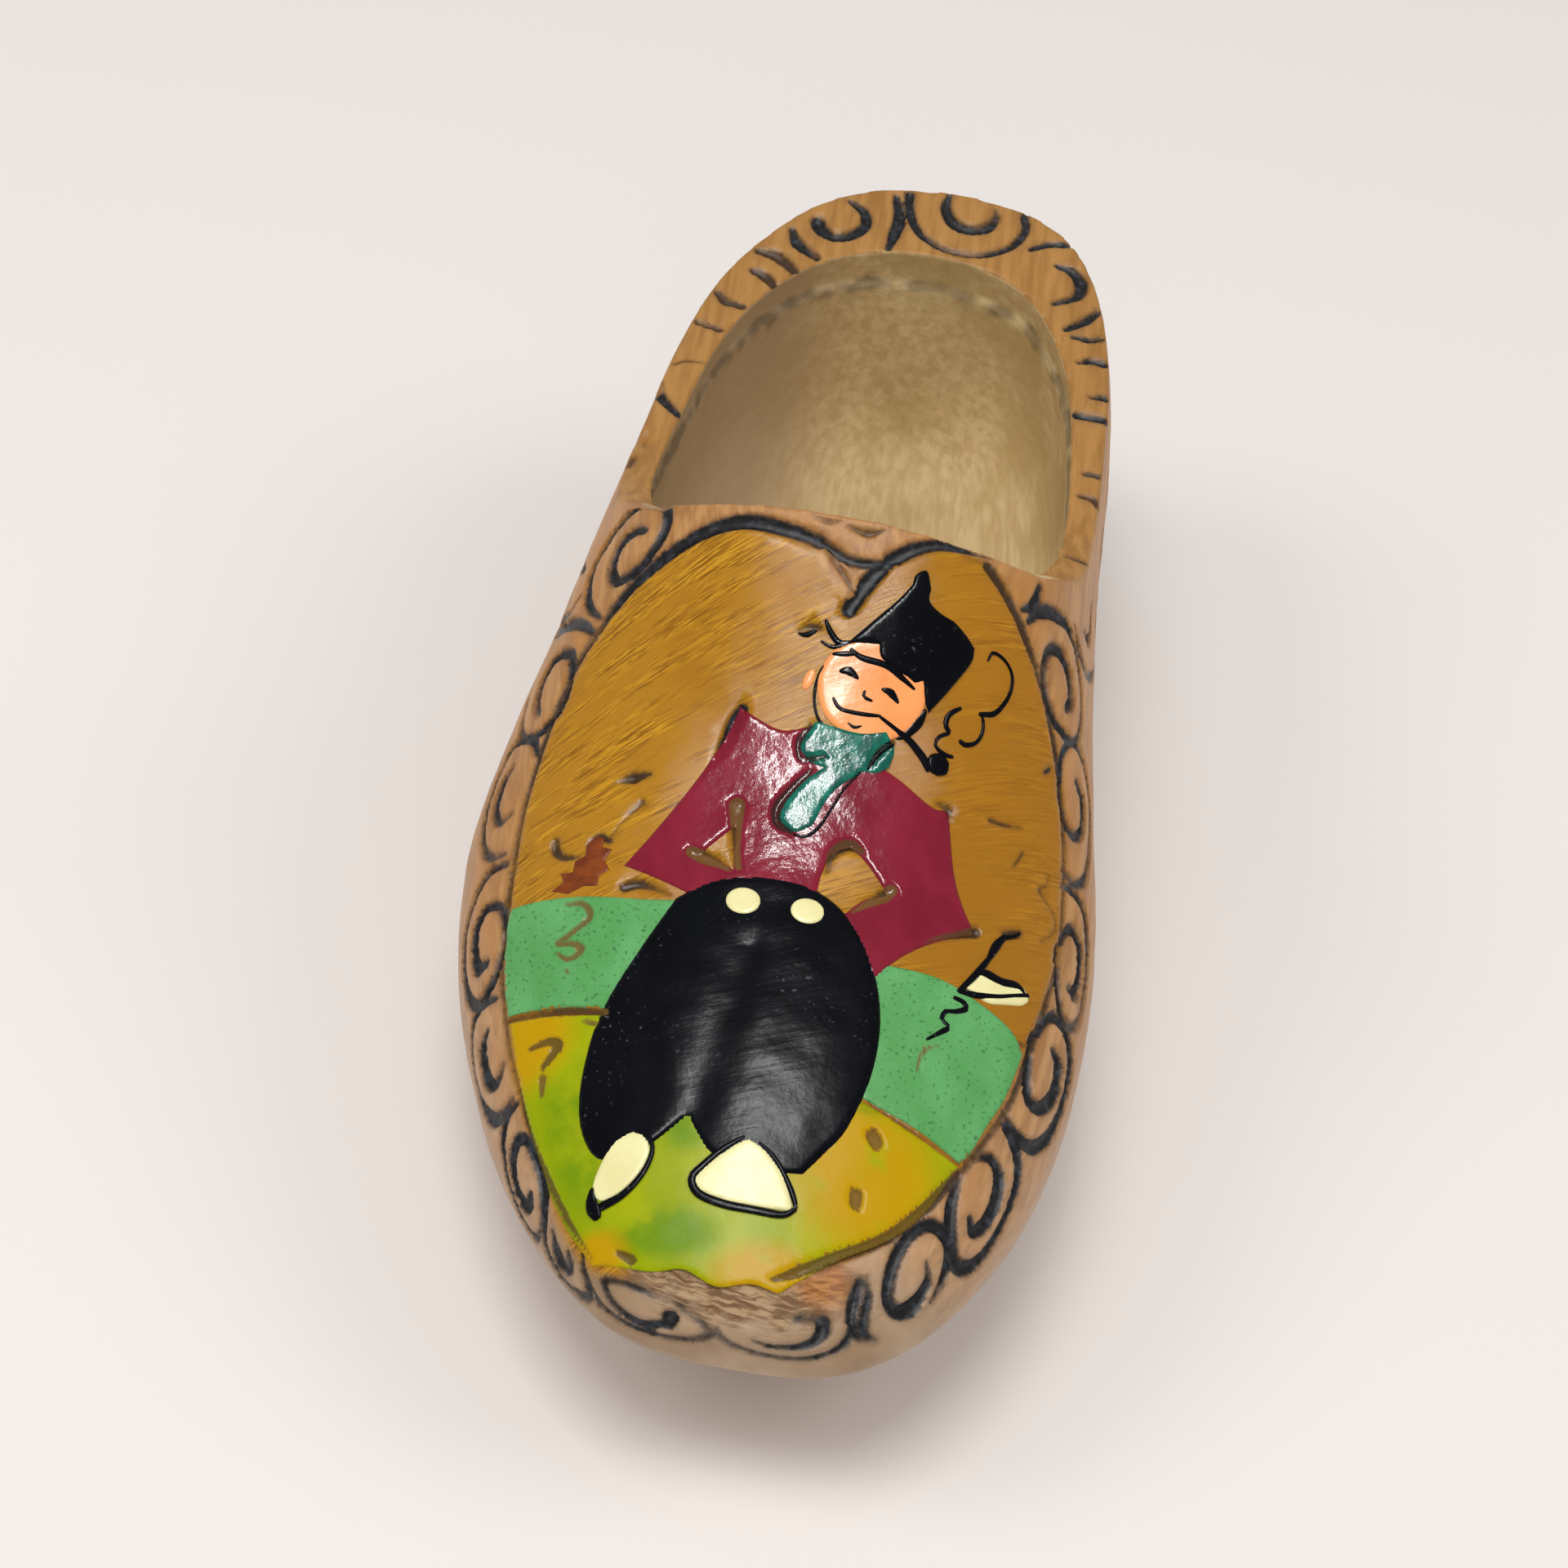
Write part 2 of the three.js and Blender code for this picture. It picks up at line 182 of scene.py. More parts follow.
# The point of the toe's or the heel's end wall that lies at (x, z): end is -1 or 1.
def onEnd(x, z, end):
    x, z = np.asarray(x, float), np.asarray(z, float)
    inner, outer = np.full(x.shape, 0.5), np.full(x.shape, 1.0)
    for _ in range(30):
        s = (inner + outer) / 2
        width, mid, top, centre, bottom = outsideSection(s * end)
        rise = np.where(z > centre, top - centre, centre - bottom)
        level = (np.abs(x - mid) / np.maximum(width, 1e-6)) ** clog["roundness"]
        level += (np.abs(z - centre) / np.maximum(rise, 1e-6)) ** clog["roundness"]
        inside = level < 1
        inner, outer = np.where(inside, s, inner), np.where(inside, outer, s)
    return np.stack([x, inner * end * half, z], -1)


def bezier(a, b, c, t):
    return (1 - t) ** 2 * a + 2 * t * (1 - t) * b + t * t * c


# The rim's side view: down from the instep, along the sides, and up a little behind the heel.
def rimLine(drop, steps=40):
    low = clog["rim"] - drop
    t = np.linspace(0, 1, steps)[:, None]
    front = bezier(np.array([clog["mouthFront"] + drop, instep - 2]),
                   np.array([clog["mouthFoot"] + drop, low + 2.5]), np.array([clog["mouthSweep"], low]), t)
    back = bezier(np.array([half * 0.5, low]), np.array([half * 0.8, low]),
                  np.array([half + 8, low + clog["heelRise"] * 1.6]), t)
    return np.vstack([front, back])


def rimHeight(y):
    line = rimLine(0)
    return np.interp(y, line[:, 0], line[:, 1])


def newObject(name, bm, material):
    mesh = bpy.data.meshes.new(name)
    bm.to_mesh(mesh)
    bm.free()
    made = bpy.data.objects.new(name, mesh)
    scene.collection.objects.link(made)
    if material:
        mesh.materials.append(material)
    for face in mesh.polygons:
        face.use_smooth = True
    return made


def paintWith(piece, material):
    piece.data.materials.clear()
    piece.data.materials.append(material)
    for face in piece.data.polygons:
        face.use_smooth = True
        face.material_index = 0


def readPoints(mesh):
    flat = np.empty(len(mesh.vertices) * 3, np.float32)
    mesh.vertices.foreach_get("co", flat)
    return flat.reshape(-1, 3).astype(float) / mm


def writePoints(mesh, points):
    mesh.vertices.foreach_set("co", (points * mm).astype(np.float32).ravel())
    mesh.update()


def readNormals(mesh):
    flat = np.empty(len(mesh.vertices) * 3, np.float32)
    mesh.vertices.foreach_get("normal", flat)
    return flat.reshape(-1, 3).astype(float)


def writeAttribute(mesh, name, values):
    made = mesh.attributes.new(name, "FLOAT", "POINT")
    made.data.foreach_set("value", np.asarray(values, np.float32))


# A ball with its poles on the Y axis, each point moved by place(station, angle).
def mouldedBall(name, place, around, along):
    bm = bmesh.new()
    bmesh.ops.create_uvsphere(bm, u_segments=around, v_segments=along, radius=1)
    ball = np.array([v.co for v in bm.verts])
    station = np.clip(ball[:, 2], -1, 1)
    moved = place(station, np.arctan2(ball[:, 0], ball[:, 1])) * mm
    for v, co in zip(bm.verts, moved):
        v.co = co
    if bm.calc_volume(signed=True) < 0:
        bmesh.ops.reverse_faces(bm, faces=bm.faces)
    return newObject(name, bm, None)


def grownVerts(grown):
    return [part for part in grown["geom"] if isinstance(part, bmesh.types.BMVert)]


# A side view (y, z) extruded right across the clog.
def acrossBlock(name, outline):
    bm = bmesh.new()
    wide = forefoot * 2 * mm
    ring = [bm.verts.new((-wide, y * mm, z * mm)) for y, z in outline]
    flat = bm.faces.new(ring)
    grown = bmesh.ops.extrude_face_region(bm, geom=[flat])
    bmesh.ops.translate(bm, vec=(2 * wide, 0, 0), verts=grownVerts(grown))
    bmesh.ops.recalc_face_normals(bm, faces=bm.faces)
    return newObject(name, bm, None)


def cut(target, cutter, how="DIFFERENCE"):
    step = target.modifiers.new("cut", "BOOLEAN")
    step.operation = how
    step.solver = "MANIFOLD"
    step.object = cutter
    applyModifiers(target)
    bpy.data.objects.remove(cutter)


def applyModifiers(target):
    bpy.context.view_layer.update()
    made = bpy.data.meshes.new_from_object(target.evaluated_get(bpy.context.evaluated_depsgraph_get()))
    old = target.data
    target.modifiers.clear()
    target.data = made
    made.name = old.name
    bpy.data.meshes.remove(old)


def rimCutter(name, drop):
    line = rimLine(drop)
    lean = (line[0] - line[1]) * 60 / (line[0, 1] - line[1, 1])
    outline = [line[0] + lean] + list(line) + [np.array([half + 8, line[0, 1] + 60])]
    return acrossBlock(name, outline)


# Everything drawn on the clog is in millimetres of a clog 165 long and 67 wide, and
# stretches with it. Each chart turns its two numbers into points of the surface.
stretch = {"x": forefoot / 33.5, "y": half / 82.5}
charts = {
    "vamp": lambda a, b: overPlan(a * stretch["x"], b * stretch["y"]),
    "side": lambda a, b: onSide(a * stretch["y"], b),
    "toe": lambda a, b: onEnd(a * stretch["x"], b, -1),
    "heel": lambda a, b: onEnd(a * stretch["x"], b, 1),
    "rim": lambda a, b: np.stack(
        [a * stretch["x"], b * stretch["y"], rimHeight(b * stretch["y"])], -1),
}


def smoothPath(points, perSpan=24):
    p = np.array(points, float)
    if len(p) == 2:
        t = np.linspace(0, 1, perSpan)[:, None]
        return p[0] * (1 - t) + p[1] * t
    ends = np.vstack([2 * p[0] - p[1], p, 2 * p[-1] - p[-2]])
    out = []
    for i in range(1, len(ends) - 2):
        t = np.linspace(0, 1, perSpan, endpoint=False)[:, None]
        a, b, c, d = ends[i - 1], ends[i], ends[i + 1], ends[i + 2]
        out.append(0.5 * (2 * b + (c - a) * t + (2 * a - 5 * b + 4 * c - d) * t ** 2
                          + (3 * b - a - 3 * c + d) * t ** 3))
    return np.vstack(out + [p[-1:]])


# A gouge or brush line swells from its start to its middle and thins to its end.
def lineWidths(count, widths):
    return np.interp(np.linspace(0, 1, count), np.linspace(0, 1, len(widths)), widths)


# Scrolls in which the gouge turns in on itself: middle, size, first angle, turns.
def scroll(a, b, wide, deep, start, turns, tight=0.42):
    count = int(7 * abs(turns)) + 2
    made = []
    for i in range(count):
        t = i / (count - 1)
        r = tight + (1 - tight) * t
        angle = math.radians(start) + turns * 2 * math.pi * t
        made.append((a + wide / 2 * r * math.cos(angle), b + deep / 2 * r * math.sin(angle)))
    return made


# Each line is its points, its widths from start to end in mm, and its colour from black to brown.
black, brown, umber = 0.0, 1.0, 0.55
panelLine = {
    "chart": "vamp",
    "lines": [
        ([(1.8, -12.7), (2.7, -10.9), (4.3, -8.6), (6.8, -6.4), (9.5, -4.9), (12.2, -4.1), (14.8, -3.3)],
         [1.9, 2, 1.9, 1.7, 1.4, 1.1, 0.6], black),
        ([(5, -8.2), (1.8, -8.7), (-0.5, -8.3), (-3.2, -7.3), (-7.1, -6.5), (-10.2, -6), (-13.2, -6.2),
          (-15.9, -7), (-18.6, -8.2),
          (-21.3, -9.9), (-23.4, -12.2)], [1.1, 1.3, 1.5, 1.7, 1.8, 1.8, 1.7, 1.6, 1.6, 1.6, 1.2], black),
        ([(-22.9, -11.6), (-24.9, -14.7), (-26.2, -19), (-27, -24.5), (-27.3, -30), (-27, -35),
          (-26.5, -40)], [1.3, 1.1, 0.9, 0.8, 0.7, 0.8, 0.8], umber),
        ([(-26.5, -40), (-25.3, -47.6), (-22.6, -56), (-18.7, -64.2), (-16, -68.8), (-12.4, -73.8),
          (-9.6, -76.8)], [0.9, 0.7, 0.6, 0.6, 0.8, 0.7, 0.4], umber),
        ([(-1.7, -8.1), (0.3, -9.7), (1.8, -11.2)], [0.6, 0.8, 0.4], brown),
        ([(14.8, -4.3), (17.5, -5.7), (19.9, -7.7), (22.3, -10.1), (24.2, -13.2), (25.7, -16.7),
          (27.2, -21.2), (28.2, -25.8),
          (28.8, -31), (28.9, -36), (28.4, -41)], [1.2, 1.2, 1.1, 1.1, 1, 0.8, 0.7, 0.7, 0.7, 0.7,
                                                   0.8], umber),
        ([(28.4, -41), (27.6, -46.8), (26.7, -52.6), (25.2, -57.2), (23.6, -60.9), (21.8, -64.2),
          (19.4, -68.1), (16.7, -71.2),
          (12.9, -73.9), (9.5, -76.1), (7.4, -77.2)], [0.8, 0.9, 0.9, 0.9, 1.1, 1.2, 1.3, 1.3, 1.3, 1.2,
                                                       0.6], umber),
        ([(0, -5.7), (2.2, -6), (3.9, -5.3)], [0.4, 1.1, 0.3], brown),
        ([(-3.6, -5.3), (-2, -5.6), (-0.8, -5.3)], [0.3, 0.7, 0.3], brown),
    ],
}
rightScrolls = {
    "chart": "side",
    "lines": [
        ([(-75.1, 36.5), (-77, 41), (-78.6, 48), (-79.2, 57), (-78.9, 68)], [1.1, 1.9, 1.6, 1.2, 0.5],
         black),
        ([(-71.1, 54.5), (-72.6, 61.5), (-75.1, 65), (-76.1, 59), (-75.2, 50), (-72.8, 44), (-69.7, 43),
          (-67.9, 48), (-68.6, 58),
          (-70.8, 65), (-73.6, 71)], [0.5, 1.2, 2, 1.6, 1.5, 1.5, 1.5, 1.6, 1.6, 1.2, 0.5], black),
        ([(-61.4, 48), (-65.1, 50), (-67.9, 56.5), (-69.5, 65), (-69.2, 73), (-67.3, 76.8), (-63.3, 74.5),
          (-58.9, 69), (-56.4, 61.5),
          (-55.3, 55)], [0.6, 1.4, 1.7, 1.9, 1.9, 1.4, 1, 1.2, 1.6, 1.3], black),
        ([(-60.1, 50.5), (-59.2, 55.5), (-60.6, 62), (-64, 66.6), (-66.2, 64.2), (-65.4, 59)],
         [0.8, 1.4, 1.6, 1.7, 1.5, 0.8], black),
        ([(-54.2, 53), (-55.5, 60.5), (-55.1, 69), (-52.6, 75), (-48.3, 77.5), (-43.9, 75.5), (-41.2, 70),
          (-40.6, 63), (-42.3, 57.8),
          (-46.1, 55.3), (-49.6, 56.8), (-51.4, 61.5), (-50.6, 67), (-47.9, 70.3), (-45.1, 68.3),
          (-44.4, 64.5)],
         [0.7, 1.5, 1.7, 1.7, 1.6, 1.6, 1.8, 1.7, 1.4, 1.3, 1.5, 1.6, 1.7, 1.9, 1.9, 1.3], black),
        ([(-36.2, 66), (-35.8, 69.5), (-33.3, 70.5), (-30.5, 67.5), (-30.1, 62.3), (-32, 59.2),
          (-35.1, 58.6), (-38.2, 61.2), (-39.9, 66.2),
          (-39.5, 71.2), (-37, 75.3), (-33.3, 75.2), (-28.9, 72.2), (-26.2, 67.5), (-26, 61), (-26.8, 57)],
         [1.3, 2, 1.9, 1.7, 1.5, 1.2, 1.2, 1.3, 1.4, 1.4, 1.2, 1.1, 1.2, 1.3, 1.5, 0.8], black),
        ([(-25.2, 56.5), (-24.9, 62.5), (-22.7, 67.7), (-18.9, 70.4), (-14.5, 70.6), (-11.5, 67),
          (-10.9, 62), (-12.1, 57), (-14.7, 53.6),
          (-17.8, 53.2), (-20.3, 56), (-20.4, 60.8), (-18.3, 64.8), (-15.3, 64.3), (-14.8, 61)],
         [0.7, 1.3, 1.3, 1.2, 1.2, 1.3, 1.3, 1.1, 0.9, 0.9, 1.1, 1.3, 1.5, 1.6, 1.2], black),
        ([(-9.2, 55.4), (-7.6, 57.3), (-5.5, 55.7), (-4.9, 51.2), (-6.7, 47.1), (-9.8, 46.3), (-12, 49.6),
          (-12.2, 55), (-10.9, 60),
          (-7.7, 63), (-4.5, 63), (-1.7, 59.5), (-0.9, 54), (-2.1, 48), (-3.9, 43.2), (-6.1, 40)],
         [1.2, 1.7, 1.8, 1.7, 1.4, 1.2, 1.2, 1.3, 1.2, 1, 1, 1.2, 1.6, 1.9, 1.8, 0.8], black),
        ([(-5.6, 38), (-3.8, 41.6), (-1.3, 42.8)], [0.7, 1.8, 1], black),
        ([(0.9, 57), (-0.3, 61.5), (0.6, 67), (4.3, 73), (8.8, 77.2), (13.5, 79.5)],
         [0.7, 1.5, 1.3, 1.2, 1, 0.8], black),
        ([(3.9, 63), (5.2, 67), (8, 68.5), (10.7, 67.2)], [0.8, 1.5, 1.4, 0.6], black),
    ],
}
leftScrolls = {
    "chart": "side",
    "lines": [
        ([(-75.7, -68.5), (-76.8, -75), (-76.6, -81), (-75.6, -80.5), (-74.3, -74)],
         [0.6, 1.1, 1.6, 1.3, 0.5], black),
        ([(-77.3, -64.5), (-78.5, -72), (-79, -80), (-78.5, -88), (-76.8, -92), (-74.5, -86.5),
          (-73.3, -79), (-72.1, -71.5), (-70.3, -65),
          (-67.9, -62.3), (-65.4, -63.8), (-65, -69), (-66.3, -77), (-68.5, -83), (-70.2, -82.3),
          (-70.5, -78), (-69.9, -73.5)],
         [0.5, 1.1, 1.3, 1.3, 1, 1, 1.1, 1.2, 1.4, 1.4, 1.5, 1.6, 1.5, 1.5, 1.8, 1.6, 0.8], black),
        ([(-72.9, -82), (-72.8, -89), (-70.8, -92.5), (-67.4, -89), (-64.9, -82), (-62.7, -74),
          (-61.6, -65)], [0.6, 1.1, 1.1, 1, 1.2, 1.3, 1], black),
        ([(-61, -65.5), (-61.8, -73.5), (-61.2, -81.8), (-58.5, -88), (-54.9, -89), (-51.9, -84.5),
          (-50.2, -77), (-49.9, -70), (-50.2, -64.8)],
         [0.6, 1.5, 1.8, 1.5, 1.2, 1.2, 1.3, 1.3, 0.8], black),
        ([(-57.2, -66.4), (-58.5, -71.8), (-58, -77), (-55.5, -78), (-53.8, -75.5), (-52.9, -71)],
         [0.6, 1.2, 1.8, 1.8, 1.5, 0.6], black),
        ([(-45.7, -67.6), (-45.6, -72.2), (-43.2, -73), (-40.6, -70), (-39.5, -64.5), (-40.8, -59.3),
          (-44.3, -59), (-47.5, -63.5), (-49, -69.3),
          (-49.3, -75.5), (-47.3, -80.8), (-43.8, -82.5), (-39.7, -78), (-36.7, -71),
          (-35.2, -64.5), (-35.4,
                                                                                                -58.4)],
         [1.2, 1.8, 1.6, 1.4, 1.3, 1.2, 1.2, 1.3, 1.4, 1.5, 1.6, 1.6, 1.3, 1.2, 1.4, 1], black),
        ([(-34.2, -59), (-33.3, -65.5), (-30.8, -70.2), (-26.7, -71.8), (-22.7, -70.2), (-20.1, -66.2),
          (-20.6, -61), (-22, -55.8), (-24, -53.3)],
         [0.6, 1.3, 1.2, 1, 1.1, 1.5, 1.6, 1.4, 0.6], black),
        ([(-29.5, -58.3), (-29.6, -63.4), (-27.3, -66.3), (-24.5, -65.2), (-23.3, -62)],
         [0.6, 1.2, 1.5, 1.4, 0.6], black),
        ([(-18.8, -57.6), (-16.5, -61), (-13.7, -61.6), (-12.4, -58), (-13.9, -52), (-17.3, -49.3),
          (-20.2, -50.4), (-21.4, -55), (-20.7, -60.6),
          (-18, -65.5), (-13.5, -69)], [0.8, 1.5, 1.7, 1.6, 1.5, 1.2, 1.2, 1.3, 1.3, 1, 0.5], black),
        ([(-13.7, -45.2), (-11.4, -50), (-9, -57.3), (-7.3, -63.6), (-4.9, -69), (0.4, -75.5), (7, -80)],
         [0.8, 1.4, 1.8, 1.9, 1.6, 1.1, 0.5], black),
        ([(-3.8, -40), (-2.9, -43.8), (-3.6, -47.6), (-6.1, -47.4), (-8.2, -43.8), (-7.9, -38.4),
          (-5.5, -34.7), (-2.7, -35.4), (-0.5, -40),
          (0.8, -46.2), (-0.1, -52.6), (-2.7, -56.3), (-6.1, -54.6), (-9.2, -51), (-11.6, -45.6)],
         [0.9, 1.7, 1.8, 1.6, 1.5, 1.4, 1.4, 1.5, 1.5, 1.6, 1.7, 1.7, 1.4, 1.3, 0.7], black),
        ([(-5.6, -57.5), (-6, -62.5), (-3.2, -69), (1.5, -73.5)], [0.7, 1.3, 1.2, 0.5], black),
        ([(-0.3, -62.5), (2.5, -66.4), (6.5, -68)], [0.8, 1.4, 0.6], black),
    ],
}
toeScrolls = {
    "chart": "toe",
    "lines": [
        ([(-1.3, 21.2), (-1.6, 20.6), (-3.8, 20), (-5.8, 20.1), (-7.4, 20.6), (-8.2, 21.4), (-6.8, 22),
          (-4.1, 22.3), (-0.9, 22.3),
          (1.2, 21.8), (2.6, 21)], [1.9, 1.4, 0.8, 0.8, 0.8, 1, 0.8, 0.7, 0.7, 0.7, 0.9], black),
        ([(-10.7, 22), (-10.3, 21), (-9.3, 20.1), (-7.6, 19.4), (-4.8, 19.3), (-1.5, 19.5), (1, 19.9),
          (2.5, 20.6), (3.2, 21.4)],
         [0.5, 0.8, 0.9, 0.7, 0.6, 0.6, 0.8, 1.1, 0.5], black),
        ([(3.1, 21.1), (4.6, 20.3), (7.3, 19.8), (10.8, 19.7), (13.7, 20.2), (15.1, 20.9), (15.6, 22),
          (15.6, 23.2), (15.8, 24.3)],
         [0.9, 0.7, 0.6, 0.6, 0.7, 1, 1.1, 1.1, 0.9], black),
        ([(6.7, 21), (8.4, 20.7), (10.6, 20.8), (12.2, 21.2), (12.9, 21.9), (12.7, 22.5), (11.8, 22.8),
          (10.3, 22.7)],
         [0.4, 0.6, 0.7, 1.1, 1.7, 1.6, 1.2, 0.8], black),
        ([(16, 24.4), (16.5, 23.4), (16.5, 22.4), (16.8, 21.3), (17.9, 20.5)], [0.6, 1.2, 1.3, 1.4, 0.7],
         black),
        ([(-14.2, 21.5), (-12.9, 20.3), (-11.8, 19.9), (-11.6, 21)], [0.5, 1, 1, 0.5], black),
    ],
}
rimLines = {
    "chart": "rim",
    "lines": [
        ([(-14, 72.6), (-13.3, 71.3), (-11.5, 70.4), (-9.5, 71.4), (-8.3, 73.5), (-8.8, 75.8),
          (-10.8, 77.4)], [2, 2.1, 1.8, 1.8, 1.6, 1.4, 0.8], black),
        ([(-16.8, 70.3), (-15.6, 67.9), (-13, 65.9)], [1, 1.9, 1.2], black),
        ([(-5.4, 79.6), (-4.4, 76), (-4.6, 72.5), (-4.9, 69.8)], [1.1, 1.8, 1.6, 0.9], black),
        ([(-3.9, 80.6), (-3.4, 77.5), (-1.8, 74), (1, 71.9), (4, 71.3), (7, 72), (9.8, 74.5), (10.9, 77.8),
          (10.4, 80.2)],
         [1.4, 1.4, 1.2, 1.1, 1, 1.1, 1.2, 1.3, 1.2], black),
        ([(0.9, 81.5), (0.8, 79.4), (2, 77), (4, 76), (6.2, 77), (7.1, 79), (6.9, 80.3)],
         [0.9, 1.5, 1.9, 2, 1.8, 1.2, 0.6], black),
        ([(12, 74.2), (14, 75.7), (16.7, 76.3)], [0.8, 1.2, 1.1], black),
        ([(15.5, 72), (17.5, 71.5), (18.8, 69.5), (18.5, 67), (16, 64.9)], [0.8, 1.6, 1.9, 1.5, 0.8],
         black),
        ([(21.4, 65), (20, 62.6), (18, 60.4)], [1.2, 1.5, 0.9], black),
        ([(19, 59.2), (21, 59.2), (22.4, 60)], [0.8, 1.2, 1], black),
        ([(20.2, 54.6), (21.6, 55.3), (23.2, 55.2)], [0.8, 1.5, 1.4], black),
        ([(22.3, 48.3), (23.8, 48.6)], [0.8, 1.6], black),
        ([(21.2, 44.3), (24.2, 44.3)], [1.6, 1.8], black),
        ([(23.2, 33), (24.6, 33)], [0.9, 1.1], umber),
        ([(23, 28.7), (24.4, 28.6), (25.4, 27.2)], [0.8, 1.1, 1], umber),
        ([(22.8, 14.6), (24.6, 13.4)], [1, 1.2], umber),
        ([(-20, 65.2), (-17.5, 64.8), (-15.2, 62.6)], [1.2, 2.1, 1.4], umber),
        ([(-20, 61.2), (-18.4, 60.6), (-17, 59)], [1.1, 1.8, 1.2], umber),
        ([(-23.4, 56), (-22, 54.6), (-20, 54)], [1, 1.6, 1.1], umber),
        ([(-24.4, 49.6), (-21.7, 48.7)], [1.2, 1], umber),
        ([(-25.6, 40.2), (-24.4, 41.3), (-22.4, 41.6)], [0.4, 0.5, 0.4], brown),
        ([(-26.6, 36.6), (-26, 33.8), (-23.2, 30.6)], [0.8, 1.6, 1], black),
        ([(-26.4, 20), (-26.5, 17.6)], [0.9, 0.9], brown),
    ],
}
marks = {
    "chart": "vamp",
    "lines": [
        ([(-17.7, -29.1), (-16.4, -28.8), (-14.7, -28.5)], [0.6, 1.5, 0.4], umber),
        ([(-17.3, -34.8), (-16.4, -33.2), (-15, -31.3)], [0.3, 0.35, 0.7], brown),
        ([(-23, -34.7), (-22.7, -35.8), (-21.6, -36.7), (-20.2, -36.9)], [1, 1.2, 0.9, 0.5], umber),
        ([(-19.3, -35.6), (-18.4, -34.9), (-17.4, -35.4)], [0.9, 1.1, 0.7], umber),
        ([(23.5, -27), (22.8, -28.9)], [0.4, 0.3], brown),
        ([(19.7, -25.8), (21.2, -25.5), (23, -24.7)], [0.6, 0.5, 0.2], brown),
        ([(24.6, -35.2), (23.3, -36.2)], [0.8, 1], umber),
        ([(25.9, -46.8), (26.9, -46.5)], [0.4, 0.6], brown),
        ([(26.5, -27.2), (26.5, -28.3), (25.9, -29.3), (26.8, -30), (27.9, -30.8), (28, -32.4),
          (26.9, -34.4)], [0.2, 0.3, 0.6, 0.3, 0.3, 0.3, 0.3], brown),
        ([(24.3, -18), (24.7, -17.3)], [0.5, 0.6], black),
    ],
}
paintMarks = {
    "chart": "vamp",
    "lines": [
        ([(-20.3, -42), (-18.5, -42.2), (-17.5, -43.7), (-19, -45.3), (-20.2, -46.3), (-18.6, -46.5),
          (-17.5, -47.2), (-18.6, -48.2), (-20, -47.3)],
         [0.5, 0.7, 0.8, 0.7, 0.6, 0.7, 0.8, 0.7, 0.4], brown),
        ([(-18.5, -49.3), (-18.4, -49.7)], [0.5, 0.5], brown),
        ([(-23.4, -53.2), (-20, -53.5), (-17, -53.7), (-13.6, -54.1)], [0.8, 1, 1, 0.8], brown),
        ([(-15.6, -54.9), (-14.4, -55.2)], [0.5, 0.7], brown),
        ([(-20.3, -56.9), (-18.6, -56.5), (-17.6, -57.1), (-18.6, -59)], [0.7, 0.9, 1.2, 0.7], umber),
        ([(-18.4, -60), (-18, -61.8)], [0.9, 0.6], brown),
        ([(14.1, -62.1), (14.5, -62.6)], [1.5, 1.5], brown),
        ([(13.6, -67.9), (13.7, -68.8)], [1.4, 1.2], brown),
        ([(18.8, -51), (17.4, -52.2), (17, -54.6)], [0.3, 0.6, 0.3], brown),
        ([(-7.3, -76.5), (-5.9, -77.1)], [0.7, 1.1], umber),
        ([(13, -59.1), (17, -60.2), (22.8, -61.5)], [0.3, 0.4, 0.3], brown),
    ],
}

# A plain line is cut into the enamel and stays the enamel's colour.
plain = -1.0
contours = {
    "chart": "vamp",
    "lines": [
        ([(-6.9, -22.2), (-7.5, -23.4), (-8, -25.4), (-8.9, -27.6)], [1.2, 1.5, 1.3, 0.3], plain),
        ([(-5.5, -31.1), (-5.1, -33.2), (-4.6, -35.6), (-4, -37.6)], [1.7, 1.2, 0.8, 0.7], brown),
        ([(-8.9, -36.4), (-7.5, -36.9), (-6, -37.4), (-4.8, -38)], [1.3, 1.6, 1, 0.4], brown),
        ([(-14.8, -40.5), (-13.4, -40.1), (-11.6, -40.6), (-9.9, -41.2)], [1.2, 1.3, 0.6, 0.3], umber),
        ([(4.7, -36.4), (4.8, -34.5), (5.6, -33.4), (6.6, -33), (7.7, -33.4)], [0.4, 1, 1.3, 1.3, 0.7],
         umber),
        ([(11.3, -36.5), (10.5, -37.5), (9.1, -38.8), (7.9, -40)], [1.3, 1.5, 0.8, 0.4], brown),
        ([(20.2, -37.6), (18.6, -38.7), (16.8, -39.8), (15.6, -40.8)], [1.3, 0.8, 0.5, 0.3], umber),
        ([(14.2, -26.4), (15.4, -26.7), (15.4, -27.6)], [0.4, 0.9, 0.5], plain),
        ([(0.2, -22.8), (-0.7, -24.3), (-0.2, -25.8), (1.2, -25.6), (2.2, -25.2)],
         [0.6, 0.7, 0.6, 0.7, 0.5], black),
        ([(1.1, -26.7), (-0.3, -28.5), (-1.5, -30.7), (-1.1, -32.4), (0.4, -33)],
         [0.6, 0.9, 1.1, 0.9, 0.6], black),
        ([(8.6, -22.6), (7.5, -23.7), (6.7, -25.4)], [0.7, 0.9, 0.5], black),
        ([(-2.9, -15.2), (-1.7, -14.7), (-0.6, -14.7)], [0.5, 1.1, 0.6], umber),
    ],
}


# The same scrolls carried on under the rim to the heel, and round the back of it.
border = {"count": 5, "first": 17.5, "apart": 12.6, "angle": 82, "drop": 0.6, "turns": 1.45}


